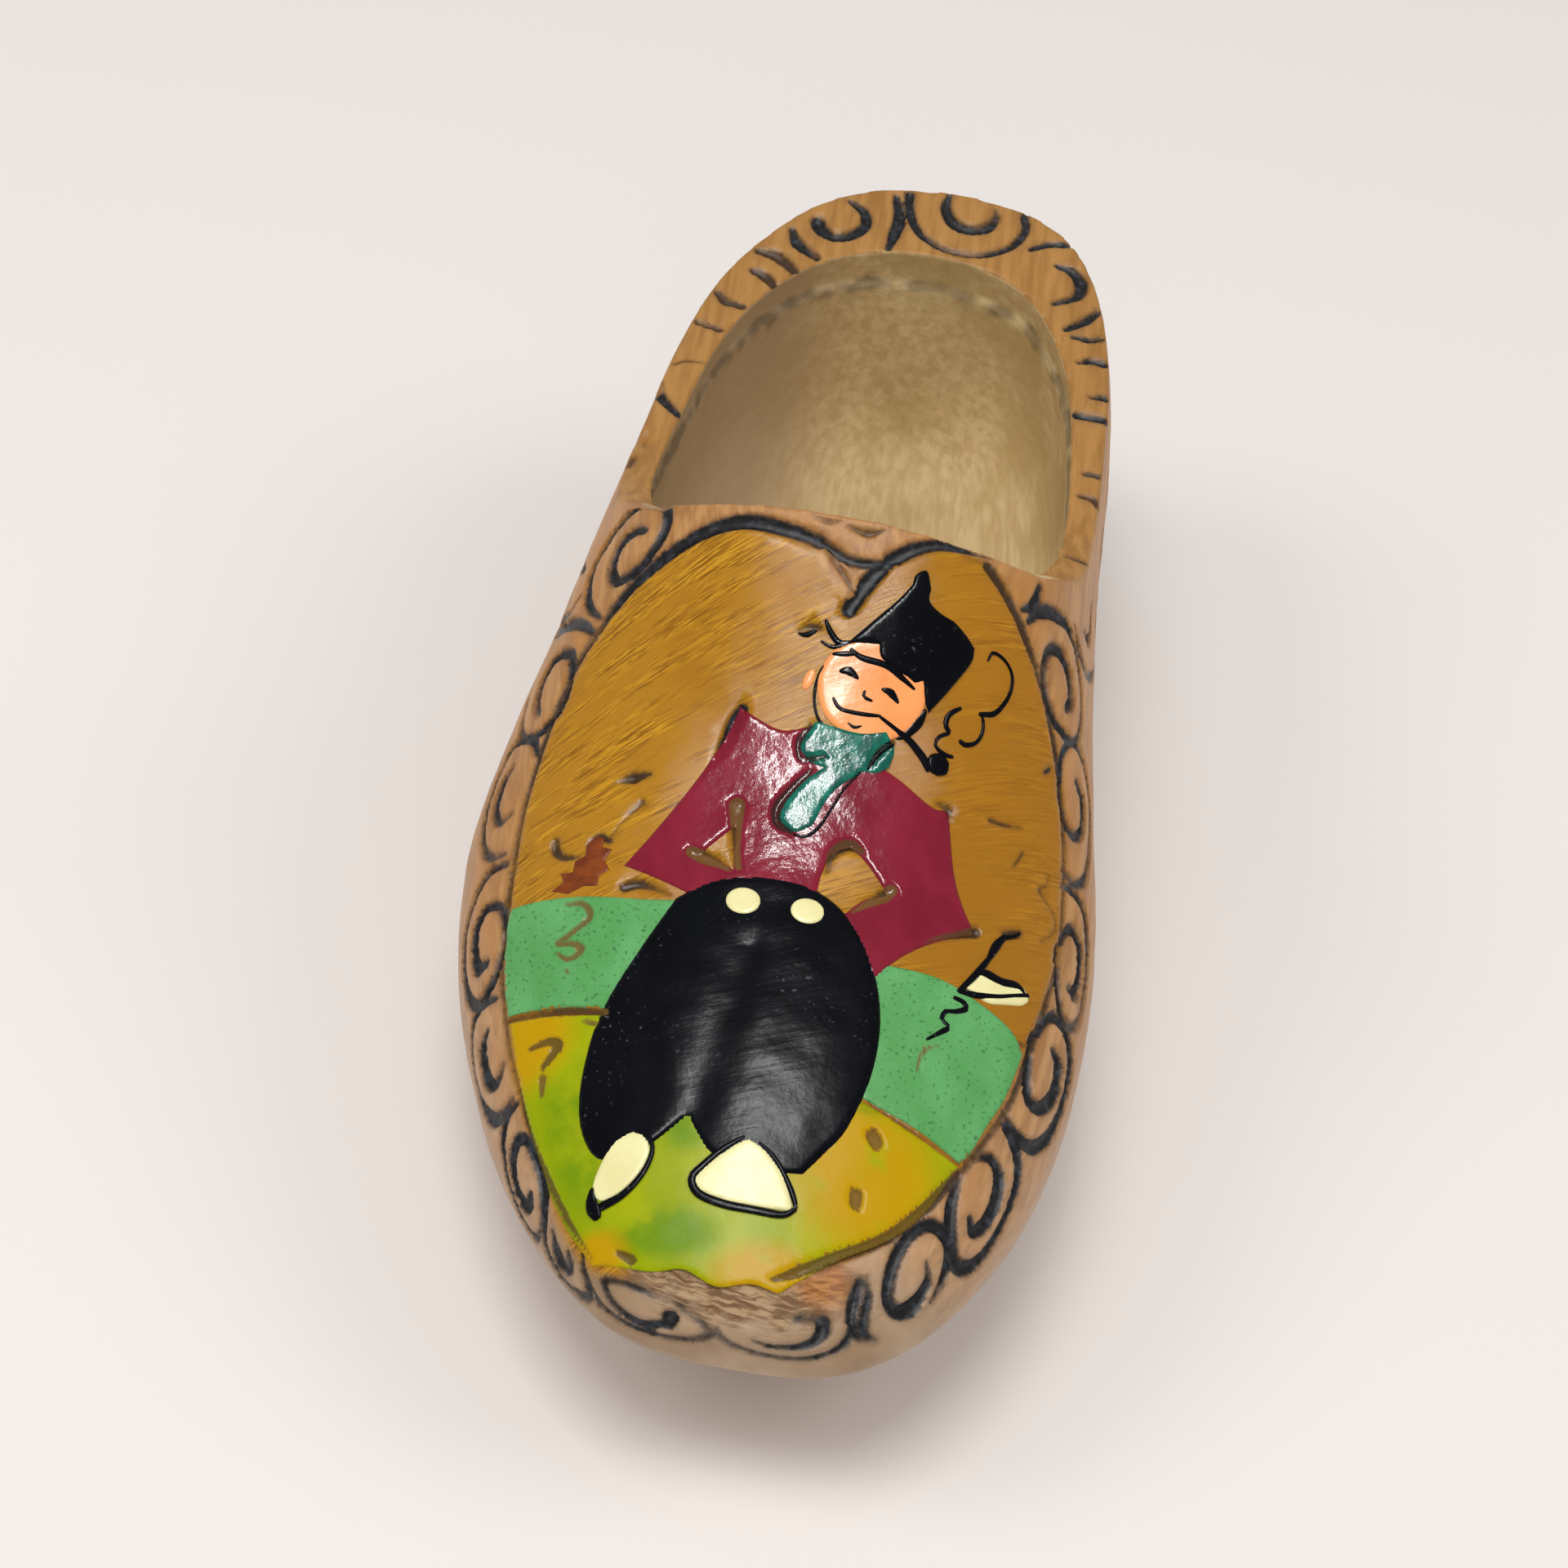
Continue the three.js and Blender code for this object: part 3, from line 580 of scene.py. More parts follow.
def hiddenScrolls():
    lines = []
    swell = [1.2, 1.8, 1.8, 1.6, 1.5, 1.4, 1.2]
    for side in (1, -1):
        for i in range(border["count"]):
            y = border["first"] + i * border["apart"]
            curl = scroll(y, border["angle"] + border["drop"] * i, 10.6, 18, 150, -border["turns"])
            lines.append(([(a, side * b) for a, b in curl], swell, black))
            sweep = [(y - 6.3, 78), (y - 5.6, 88), (y, 94.5), (y + 5.4, 92), (y + 6.3, 85)]
            lines.append(([(a, side * (b + border["drop"] * i)) for a, b in sweep],
                          [0.6, 1.2, 1.4, 1.4, 0.6], black))
    back = []
    for x, turn in ((-12.5, 1), (2, -1), (16.5, 1)):
        back.append((scroll(x, 32, 11.4, 11, 90, border["turns"] * turn), swell, black))
    for x in (-5.3, 9.3):
        back.append(([(x - 0.8, 38.8), (x + 0.6, 32), (x - 0.8, 25.4)], [0.6, 1.6, 0.5], black))
    return {"chart": "side", "lines": lines}, {"chart": "heel", "lines": back}


sampleStep = 0.12


# Every carved line as points of the surface, each with its half width and its tone.
def carvedSamples(groups):
    points, halves, tones = [], [], []
    for group in groups:
        for line, widths, tone in group["lines"]:
            path = smoothPath(line)
            spread = charts[group["chart"]](path[:, 0], path[:, 1])
            run = np.r_[0, np.cumsum(np.linalg.norm(np.diff(spread, axis=0), axis=1))]
            even = np.linspace(0, run[-1], max(8, int(run[-1] / sampleStep)))
            wide = lineWidths(len(path), widths)
            points.append(np.stack([np.interp(even, run, spread[:, k]) for k in range(3)], -1))
            halves.append(np.interp(even, run, wide) / 2)
            tones.append(np.full(len(even), tone))
    return np.vstack(points), np.concatenate(halves), np.concatenate(tones)


class CarvedLines:
    def __init__(self, groups):
        points, self.halves, self.tones = carvedSamples(groups)
        self.tree = KDTree(len(points))
        for i, p in enumerate(points):
            self.tree.insert(p, i)
        self.tree.balance()

    # For each point: distance to the nearest line's edge, negative inside it, that
    # line's half width, and its tone.
    def measure(self, points):
        index = np.empty(len(points), int)
        far = np.empty(len(points))
        for i, p in enumerate(points):
            _, index[i], far[i] = self.tree.find(p)
        wide = self.halves[index]
        return far - wide, wide, self.tones[index]


# A gouge cuts a round furrow this deep for its half width.
gougeShare = 0.75


def gougeDepth(edge, wide):
    t = np.clip(-edge / wide, 0, 1)
    return gougeShare * wide * np.sqrt(1 - (1 - t) ** 2)


def tint(red, green, blue):
    channels = [c / 255 for c in (red, green, blue)]
    return tuple(c / 12.92 if c < 0.04045 else ((c + 0.055) / 1.055) ** 2.4 for c in channels) + (1.0,)


# A material with a few short calls for the nodes it is made from.
class Shader:
    def __init__(self, name, **settings):
        self.material = bpy.data.materials.new(name)
        self.material.use_nodes = True
        self.tree = self.material.node_tree
        self.surface = self.tree.nodes["Principled BSDF"]
        self.put(self.surface, settings)
        self.where = self.node("ShaderNodeTexCoord").outputs["Object"]

    def put(self, node, inputs):
        for name, value in inputs.items():
            socket = node.inputs[name] if isinstance(name, int) else node.inputs[name.replace("_", " ")]
            if isinstance(value, bpy.types.NodeSocket):
                self.tree.links.new(value, socket)
            else:
                socket.default_value = value

    def node(self, kind, settings=None, **inputs):
        made = self.tree.nodes.new(kind)
        for name, value in (settings or {}).items():
            setattr(made, name, value)
        self.put(made, inputs)
        return made

    def sums(self, how, a, b=0.0, c=0.0):
        made = self.node("ShaderNodeMath", {"operation": how})
        self.put(made, {0: a, 1: b, 2: c})
        return made.outputs[0]

    def times(self, a, b):
        return self.sums("MULTIPLY", a, b)

    def attribute(self, name):
        return self.node("ShaderNodeAttribute", {"attribute_name": name}).outputs["Fac"]

    # 0 below low and 1 above high, smoothly between; high may be the smaller.
    def ramp(self, value, low, high):
        made = self.node("ShaderNodeMapRange", {"interpolation_type": "SMOOTHSTEP"}, Value=value)
        flip = high < low
        self.put(made, {"From Min": min(low, high), "From Max": max(low, high)})
        self.put(made, {"To Min": float(flip), "To Max": float(not flip)})
        return made.outputs[0]

    def mix(self, share, a, b):
        made = self.node("ShaderNodeMix", {"data_type": "RGBA"})
        self.put(made, {0: share, 6: a, 7: b})
        return made.outputs[2]

    def blend(self, share, a, b):
        made = self.node("ShaderNodeMix", {"data_type": "FLOAT"})
        self.put(made, {0: share, 2: a, 3: b})
        return made.outputs[0]

    # Noise with its own size in mm along each axis, turned by a few degrees.
    def grain(self, size, detail=4.0, turn=(0, 0, 0), shift=0.0, rough=0.55):
        placed = self.node("ShaderNodeMapping", {"vector_type": "TEXTURE"}, Vector=self.where)
        self.put(placed, {"Rotation": [math.radians(a) for a in turn], "Scale": [s * mm for s in size],
                          "Location": (shift, shift, shift)})
        made = self.node("ShaderNodeTexNoise", Vector=placed.outputs[0],
                         Scale=1.0, Detail=detail, Roughness=rough)
        return made.outputs["Fac"]

    # 1 in the middle of an ellipse standing over (x, y), 0 outside it.
    def patch(self, x, y, wide, deep, turn=0.0):
        placed = self.node("ShaderNodeMapping", {"vector_type": "TEXTURE"}, Vector=self.where)
        self.put(placed, {"Location": (x * mm, y * mm, 0), "Rotation": (0, 0, math.radians(turn)),
                          "Scale": (wide * mm, deep * mm, 1e3)})
        far = self.node("ShaderNodeVectorMath", {"operation": "LENGTH"})
        self.put(far, {0: placed.outputs[0]})
        return self.ramp(far.outputs["Value"], 1.0, 0.35)

    def bump(self, height, strength, distance, under=None):
        made = self.node("ShaderNodeBump", Height=height, Strength=strength, Distance=distance * mm)
        if under:
            self.put(made, {"Normal": under})
        return made.outputs[0]

    def finish(self, colour, rough=None, normal=None):
        self.put(self.surface, {"Base Color": colour})
        if rough is not None:
            self.put(self.surface, {"Roughness": rough})
        if normal is not None:
            self.put(self.surface, {"Normal": normal})
        return self.material


def woodMaterial():
    s = Shader("carved_wood", IOR=1.45, Specular_IOR_Level=0.45)
    edge, tone = s.attribute("edge"), s.attribute("tone")
    panel, inside = s.attribute("panel"), s.attribute("inside")
    rim, worn = s.attribute("rim"), s.attribute("worn")
    height = s.node("ShaderNodeSeparateXYZ", Vector=s.where).outputs["Z"]

    fibre = s.grain((1.1, 16, 1.1), 6, (4, 0, 3))
    wide = s.grain((7, 60, 7), 3, (3, 0, 2), 0.02)
    blotch = s.grain((16, 16, 16), 3, shift=0.05)
    brush = s.grain((5, 0.2, 2), 5, (0, 0, 30), 0.03, 0.7)
    brushSoft = s.grain((24, 1.6, 6), 3, (0, 0, 24), 0.01)

    lacquer = s.mix(s.ramp(brush, 0.4, 0.6), tint(130, 82, 4), tint(206, 150, 28))
    lacquer = s.mix(s.ramp(brushSoft, 0.38, 0.62), lacquer, tint(176, 122, 20))
    across = s.node("ShaderNodeSeparateXYZ", Vector=s.where).outputs["X"]
    lacquer = s.mix(s.times(s.ramp(across, 0.002, 0.02), 0.5), lacquer, tint(160, 100, 10))
    lacquer = s.mix(s.ramp(blotch, 0.4, 0.75), lacquer, tint(160, 106, 12))
    tan = s.mix(s.ramp(fibre, 0.32, 0.68), tint(160, 110, 60), tint(194, 144, 88))
    tan = s.mix(s.ramp(wide, 0.4, 0.7), tan, tint(182, 124, 60))
    # The lower sides turn paler and greyer: partly the wood's own greyer tone, partly a painted sheen on
    # the sides.
    paleAndSheen = s.mix(s.ramp(fibre, 0.3, 0.7), tint(172, 142, 114), tint(190, 160, 132))
    tan = s.mix(s.ramp(height, 0.034, 0.012), tan, paleAndSheen)
    along = s.node("ShaderNodeSeparateXYZ", Vector=s.where).outputs["Y"]
    end = s.times(s.ramp(along, -0.069, -0.077), 0.8)
    tan = s.mix(end, tan, s.mix(s.ramp(blotch, 0.35, 0.65), tint(150, 122, 92), tint(186, 160, 132)))
    top = s.mix(s.ramp(fibre, 0.3, 0.7), tint(156, 108, 48), tint(182, 132, 68))

    skin = s.mix(s.ramp(panel, 0.5, -0.5), tan, lacquer)
    skin = s.mix(rim, skin, top)
    raw = s.mix(s.ramp(fibre, 0.28, 0.74), tint(198, 170, 120), tint(224, 200, 152))
    raw = s.mix(s.times(s.ramp(blotch, 0.46, 0.66), 0.7), raw, tint(186, 158, 104))
    # Painted shade: the hollow's left wall is made darker and greyer.
    raw = s.mix(s.times(s.ramp(across, -0.006, -0.018), 0.85), raw, tint(172, 148, 118))
    smudge = s.ramp(s.grain((2.2, 3, 2.2), 4, shift=0.08), 0.46, 0.62)
    for x, y in ((-14, 23), (-14.5, 30), (-13, 38)):
        raw = s.mix(s.times(s.times(s.patch(x, y, 5, 5), smudge), 0.7), raw, tint(216, 208, 196))
    for x, y, size in ((1, 36, 4), (8, 39, 3), (14, 28, 4), (3, 23, 3), (12, 17, 3)):
        raw = s.mix(s.times(s.times(s.patch(x, y, size, size), smudge), 0.55), raw, tint(96, 84, 64))
    # Painted shadow: a dark ragged line under the step of the band trimmed inside the mouth.
    raw = s.mix(s.times(s.attribute("ledgeShadow"), 0.65), raw, tint(84, 66, 40))
    skin = s.mix(inside, skin, raw)
    split = s.grain((3.2, 1, 0.26), 6, (0, 0, -14), 0.06, 0.65)
    bare = s.mix(s.ramp(split, 0.42, 0.6), tint(112, 80, 48), tint(176, 144, 108))
    skin = s.mix(worn, skin, bare)
    drip = s.times(s.patch(12, -76, 4, 3.4), s.ramp(panel, -0.5, 0.2))
    skin = s.mix(s.times(drip, 0.75), skin, s.mix(s.ramp(split, 0.4, 0.6), tint(140, 76, 12),
                                                  tint(186, 118, 40)))

    sheen = s.ramp(s.grain((0.9, 0.9, 0.9), 3, shift=0.12), 0.45, 0.7)
    ink = s.mix(tone, s.mix(sheen, tint(16, 17, 20), tint(50, 53, 60)), tint(86, 58, 24))
    halo = s.times(s.ramp(edge, 0.5, 0.0), 0.45)
    wobble = s.sums("ADD", edge, s.times(s.sums("SUBTRACT", s.grain((0.7, 0.7, 0.7), 3), 0.5), 0.16))
    skin = s.mix(halo, skin, s.mix(0.5, skin, ink))
    colour = s.mix(s.ramp(wobble, 0.08, -0.12), skin, ink)

    rough = s.blend(inside, s.blend(s.ramp(panel, 0.5, -0.5), 0.42, 0.15), 0.75)
    rough = s.blend(worn, rough, 0.7)
    fine = s.bump(brush, 0.3, 0.2)
    fine = s.bump(fibre, 0.2, 0.12, fine)
    return s.finish(colour, rough, fine)


def enamelMaterial(name, first, second, rough=0.16, size=(5, 9, 5),
                   brushBump=0.15, extra=None, crackle=0.2, gloss=0.36):
    s = Shader(name, IOR=1.48, Specular_IOR_Level=gloss)
    streak = s.grain(size, 4, (0, 0, 20), 0.04)
    colour = s.mix(s.ramp(streak, 0.35, 0.7), first, second)
    if extra:
        colour = extra(s, colour)
    mark, tone = s.attribute("mark"), s.attribute("tone")
    ink = s.mix(tone, tint(40, 30, 22), tint(112, 84, 40))
    colour = s.mix(s.times(s.ramp(mark, 0.1, -0.15), 0.85), colour, ink)
    fine = s.bump(s.grain((9, 0.7, 4), 3, (0, 0, 22), 0.07), brushBump, 0.12)
    fine = s.bump(s.grain((0.9, 0.9, 0.9), 4, shift=0.03), crackle, 0.1, fine)
    toward = s.ramp(s.node("ShaderNodeSeparateXYZ", Vector=s.where).outputs["Y"], -0.04, -0.052)
    return s.finish(colour, s.blend(toward, rough, rough + 0.06), fine)


def fieldBlend(s, colour):
    cloud = s.grain((6, 6, 6), 3, shift=0.02)
    gold = tint(192, 150, 0)
    for x, y, wide, deep, turn in ((-21, -56.5, 6.5, 6.5, 0), (14, -66, 10, 11, 30), (6.5, -77, 7, 4, 10),
                                   (-9, -76.5, 4, 2.6, 0)):
        share = s.times(s.patch(x, y, wide, deep, turn), s.ramp(cloud, 0.2, 0.42))
        colour = s.mix(share, colour, gold)
    for x, y, wide, deep, turn in ((-13.6, -66, 4.2, 10, 22), (-3.5, -74.5, 7, 3.4, 0),
                                   (-3.4, -63.5, 4, 5, 0), (13, -59.5, 6, 1.6, -14)):
        share = s.times(s.patch(x, y, wide, deep, turn), s.ramp(cloud, 0.34, 0.62))
        colour = s.mix(s.times(share, 0.7), colour, tint(80, 132, 0))
    return colour


def speckled(s, colour):
    speck = s.grain((0.4, 0.4, 0.4), 2, shift=0.11)
    return s.mix(s.times(s.ramp(speck, 0.6, 0.68), 0.7), colour, tint(44, 96, 56))


def dusty(s, colour):
    speck = s.grain((0.5, 0.5, 0.5), 2, shift=0.06)
    cloud = s.grain((8, 12, 8), 2, shift=0.09)
    share = s.times(s.ramp(speck, 0.64, 0.72), s.ramp(cloud, 0.45, 0.65))
    return s.mix(s.times(share, 0.35), colour, tint(120, 120, 130))


wood = woodMaterial()
enamels = {
    "black": enamelMaterial("black_enamel", tint(5, 6, 10), tint(9, 11, 18), 0.16, extra=dusty, gloss=0.12),
    "skin": enamelMaterial("skin_enamel", tint(255, 166, 98), tint(250, 154, 88), 0.2),
    "teal": enamelMaterial("teal_enamel", tint(8, 82, 70), tint(18, 120, 100), 0.16, (1.5, 3, 2),
                           crackle=0.5),
    "raspberry": enamelMaterial("raspberry_enamel", tint(122, 18, 40), tint(138, 28, 50),
                                0.15, crackle=0.5),
    "cream": enamelMaterial("cream_enamel", tint(244, 238, 178), tint(234, 224, 162), 0.25),
    "green": enamelMaterial("green_enamel", tint(86, 158, 86), tint(102, 174, 106), 0.28, extra=speckled),
    "yellow": enamelMaterial("yellow_enamel", tint(148, 162, 0), tint(166, 174, 0),
                             0.26, extra=fieldBlend, gloss=0.14),
    "rust": enamelMaterial("rust_enamel", tint(134, 62, 14), tint(104, 42, 10), 0.3, (1.2, 1.2, 1.2)),
}
print("materials made")


def closedOutline(strokes):
    ring = []
    for stroke in strokes:
        path = smoothPath(stroke, 10)
        ring.extend(path[:-1])
    return np.array(ring)


def signedDistance(points, outline):
    a, b = outline, np.roll(outline, -1, axis=0)
    best = np.full(len(points), 1e9)
    winding = np.zeros(len(points), bool)
    for p, q in zip(a, b):
        along = q - p
        t = np.clip(((points - p) @ along) / max(along @ along, 1e-12), 0, 1)
        best = np.minimum(best, np.linalg.norm(points - p - t[:, None] * along, axis=1))
        crosses = (p[1] > points[:, 1]) != (q[1] > points[:, 1])
        safe = q[1] - p[1] if abs(q[1] - p[1]) > 1e-12 else 1e-12
        winding ^= crosses & (points[:, 0] < along[0] * (points[:, 1] - p[1]) / safe + p[0])
    return np.where(winding, -best, best)


def noiseAt(points, size, seed=0.0):
    return np.array([noise.noise(Vector((p[0] / size + seed, p[1] / size, p[2] / size))) for p in points])


woodSize = {"around": 260, "along": 300, "voxel": 0.34, "faces": 194000}
woodPiece = mouldedBall(
    "wood_body", lambda s, a: sectionPoint(outsideSection(s),
                                           a, s * half), woodSize["around"], woodSize["along"])


def hollowPoints(wider):
    def place(s, a):
        section = hollowSection(s, wider)
        return sectionPoint(section[:5], a, section[5])
    return place


# The sole: a lifted toe, a flat tread, a low arch and a flat heel block.
def soleLine():
    t = np.linspace(0, 1, 24)[:, None]
    toe = bezier(np.array([-half - 20, clog["toeLift"]]), np.array([-half * 0.8, 0]),
                 np.array([-half * 0.55, 0]), t)
    arch = bezier(np.array([clog["archFront"], 0]), np.array(clog["archBend"]), np.array([clog["archBack"],
                                                                                          0]), t)
    return np.vstack([toe, arch])


sole = soleLine()
outline = [np.array([sole[0, 0], -40])] + list(sole) + [np.array([half + 20, 0]),
                                                        np.array([half + 20, -40])]
cut(woodPiece, acrossBlock("under_sole", outline))
cut(woodPiece, rimCutter("above_rim", 0))
cut(woodPiece, mouldedBall("hollow", hollowPoints(0), 160, 200))
band = mouldedBall("band", hollowPoints(clog["bandStep"]), 160, 200)
cut(band, rimCutter("above_band", clog["band"]), "INTERSECT")
cut(woodPiece, band)
remesh = woodPiece.modifiers.new("even", "REMESH")
remesh.mode = "VOXEL"
remesh.voxel_size = woodSize["voxel"] * mm
applyModifiers(woodPiece)
print("wood body", len(woodPiece.data.vertices))


# Softens the sawn edges by a few rounds of averaging.
def soften(mesh, rounds):
    bm = bmesh.new()
    bm.from_mesh(mesh)
    for _ in range(rounds):
        bmesh.ops.smooth_vert(bm, verts=bm.verts, factor=0.5, use_axis_x=True, use_axis_y=True,
                              use_axis_z=True)
    bm.to_mesh(mesh)
    bm.free()


soften(woodPiece.data, 3)


# A point's place across a section: 1 on the surface, less inside it.
def levelIn(section, points):
    width, mid, top, centre, bottom = section
    rise = np.where(points[:, 2] > centre, top - centre, centre - bottom)
    across, up = np.abs(points[:, 0] - mid) / width, np.abs(points[:, 2] - centre) / rise
    return (across ** clog["roundness"] + up ** clog["roundness"]) ** (1 / clog["roundness"])


nearTip = 0.99999


def outsideLevel(points):
    return levelIn(outsideSection(np.clip(points[:, 1] / half, -nearTip, nearTip)), points)


def hollowStation(points):
    return (points[:, 1] - (hollowToe + hollowHeel) / 2) / ((hollowHeel - hollowToe) / 2)


def hollowLevel(points):
    return levelIn(hollowSection(np.clip(hollowStation(points), -nearTip, nearTip))[:5], points)


# How far a point lies inside the surface where that level is 1, in mm.
def depthUnder(points, level, nudge=0.05):
    here = level(points)
    slope = np.zeros(len(points))
    for axis in range(3):
        reach = np.zeros(3)
        reach[axis] = nudge
        slope += ((level(points + reach) - level(points - reach)) / (2 * nudge)) ** 2
    return (1 - here) / np.maximum(np.sqrt(slope), 1e-3)


# How squarely a surface faces away from the hollow's middle line: -1 on the inner walls.
def facingOut(points, normals):
    _, mid, top, _, bottom, y = hollowSection(np.clip(hollowStation(points), -0.7, 0.7))
    away = points - np.stack([mid, y, (top + bottom) / 2], -1)
    return (away * normals).sum(axis=1) / np.linalg.norm(away, axis=1)


hidden, heelBack = hiddenScrolls()
carved = CarvedLines([panelLine, rightScrolls, leftScrolls, toeScrolls, rimLines, marks, paintMarks,
                      contours, hidden,
                      heelBack])
heartOutline = np.array([(1.9, -12.6), (-4, -8), (-12, -6.4), (-19, -8.6), (-24, -14), (-26.6, -22),
                         (-27.2, -32), (-26.4, -42),
                         (-23, -55), (-18, -66), (-10, -77.4), (0, -78.2), (8, -77.6), (17, -71),
                         (23.4, -61), (27.4, -48),
                         (28.8, -34), (27.4, -21), (23.8, -12), (18.5, -6), (14.8, -4), (8, -5.8),
                         (4, -9.2)])
heartOutline = smoothPath(heartOutline, 6)
farAway = 9.0
chips = [((-26.4, 24.5, 43), 1.6, 0.9), ((-5, -6, 56.5), 0.8, 0.5), ((9, -5, 54), 0.9, 0.5),
         ((15.6, -3.6, 47), 0.8, 0.5)]


# The slight unevenness of wood cut by hand.
def uneven(points):
    return noiseAt(points, 9) * 0.12 + noiseAt(points, 3.1, 7) * 0.05


# Where the paint and the wood are rubbed away, on the tip of the toe.
wornToe = {"front": -70, "x": 3.5, "z": 23.6, "wide": 9.5}


def wornPlace(points, high):
    return np.hypot((points[:, 0] - wornToe["x"]) / wornToe["wide"], (points[:, 2] - wornToe["z"]) / high)


# How near in mm, or how squarely turned, a point has to be to count as part of a surface.
near = {"skin": 1.1, "rim": 1.2, "rimUp": 0.5, "wall": 1.5, "hollow": -2, "inward": -0.45, "panel": 2}
rimBand = {"deep": 1.6, "out": -1, "front": 6, "up": 0.35}
# The painted shadow line under the band's step: its reach, width, raggedness and where it starts at the
# front.
ledgeShadowLine = {"reach": 1.1, "wide": 0.8, "ragged": 1.2, "front": 8}


# Cuts the gouge lines, the wear and the chips into the wood, and keeps its sole flat.
def carve(mesh):
    points, normals = readPoints(mesh), readNormals(mesh)
    outer = (depthUnder(points, outsideLevel) < near["skin"]) | (points[:, 1] > hollowHeel + 1)
    overRim = np.abs(points[:, 2] - rimHeight(points[:, 1]))
    flatRim = (overRim < near["rim"]) & (normals[:, 2] > near["rimUp"])
    edge, wide = np.full(len(points), farAway), np.full(len(points), 1.0)
    carvable = outer | flatRim
    edge[carvable], wide[carvable], _ = carved.measure(points[carvable])
    toe = (points[:, 1] < wornToe["front"]) & (points[:, 2] > 21.5)
    wear = np.zeros(len(points))
    wear[toe] = np.clip(1.6 - 1.3 * wornPlace(points[toe], 1.6), 0, 1)
    depth = gougeDepth(edge, wide) + uneven(points) + wear * (0.25 + 0.35 * noiseAt(points, 1.3, 3))
    for place, size, deep in chips:
        far = np.linalg.norm(points - np.array(place), axis=1)
        depth += deep * np.clip(1.3 - far / size + 0.4 * noiseAt(points, 0.8, 5) * (far < 3 * size), 0, 1)
    points -= normals * depth[:, None]
    points[:, 2] = np.maximum(points[:, 2], 0)
    writePoints(mesh, points)


# Marks each point of the finished wood with what the material needs to know.
def describe(mesh):
    points, normals = readPoints(mesh), readNormals(mesh)
    under = depthUnder(points, outsideLevel)
    rimTop = rimHeight(points[:, 1])
    inHollow = (points[:, 1] > hollowToe - 1) & (points[:, 1] < hollowHeel + 1)
    hollowed = inHollow & (depthUnder(points, hollowLevel) > near["hollow"]) & (under > near["wall"])
    hollowed |= facingOut(points, normals) < near["inward"]
    onRim = (points[:, 2] > rimTop - rimBand["deep"]) & (under > rimBand["out"])
    onRim &= (points[:, 1] > rimBand["front"]) & (normals[:, 2] > rimBand["up"])
    inner = hollowed & ~onRim
    outer = ~inner
    edge, tone = np.full(len(points), farAway), np.zeros(len(points))
    edge[outer], _, tone[outer] = carved.measure(points[outer])
    panel = np.full(len(points), farAway)
    top = (under < near["panel"]) & (points[:, 1] < 0) & (normals[:, 2] > 0)
    panel[top] = signedDistance(points[top, :2], heartOutline)
    toe = (points[:, 1] < wornToe["front"]) & (points[:, 2] > 20)
    worn = np.zeros(len(points))
    worn[toe] = np.clip(2.1 - wornPlace(points[toe], 1.8) * 1.5 + 0.8 * noiseAt(points[toe], 1.6, 3), 0, 1)
    tone = np.clip(tone, 0, 1)
    # A painted shadow line where the band trimmed inside the mouth steps in.
    below = np.abs(points[:, 2] - rimTop + clog["band"])
    ledgeShadow = ledgeShadowLine["reach"] - below / ledgeShadowLine["wide"] + ledgeShadowLine["ragged"] * noiseAt(points, 2.2, 11)
    ledgeShadow = np.clip(ledgeShadow, 0, 1) * inner * (points[:, 1] > ledgeShadowLine["front"])
    for name, values in (("edge", edge), ("tone", tone), ("panel", panel), ("inside", inner),
                         ("rim", onRim),
                         ("worn", worn), ("ledgeShadow", ledgeShadow)):
        writeAttribute(mesh, name, values)


carve(woodPiece.data)
print("wood carved")
faces = len(woodPiece.data.polygons) * 2
thin = woodPiece.modifiers.new("thin", "DECIMATE")
thin.ratio = min(1, woodSize["faces"] / faces)
applyModifiers(woodPiece)
describe(woodPiece.data)
paintWith(woodPiece, wood)
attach(woodPiece, "root")
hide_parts("carved_wood_clog")
print("wood described", len(woodPiece.data.polygons))


def draped(x, y, lift):
    x, y = np.asarray(x, float), np.asarray(y, float)
    reach = 0.08
    across = overPlan(x + reach, y) - overPlan(x - reach, y)
    along = overPlan(x, y + reach) - overPlan(x, y - reach)
    normal = np.cross(across, along)
    normal /= np.linalg.norm(normal, axis=1)[:, None]
    return overPlan(x, y) + normal * np.asarray(lift)[:, None]


paintLines = CarvedLines([paintMarks, panelLine, contours])


paint = {"margin": 0.5, "edge": 0.25, "wavy": 0.02, "sunk": -0.35, "weld": 0.02}


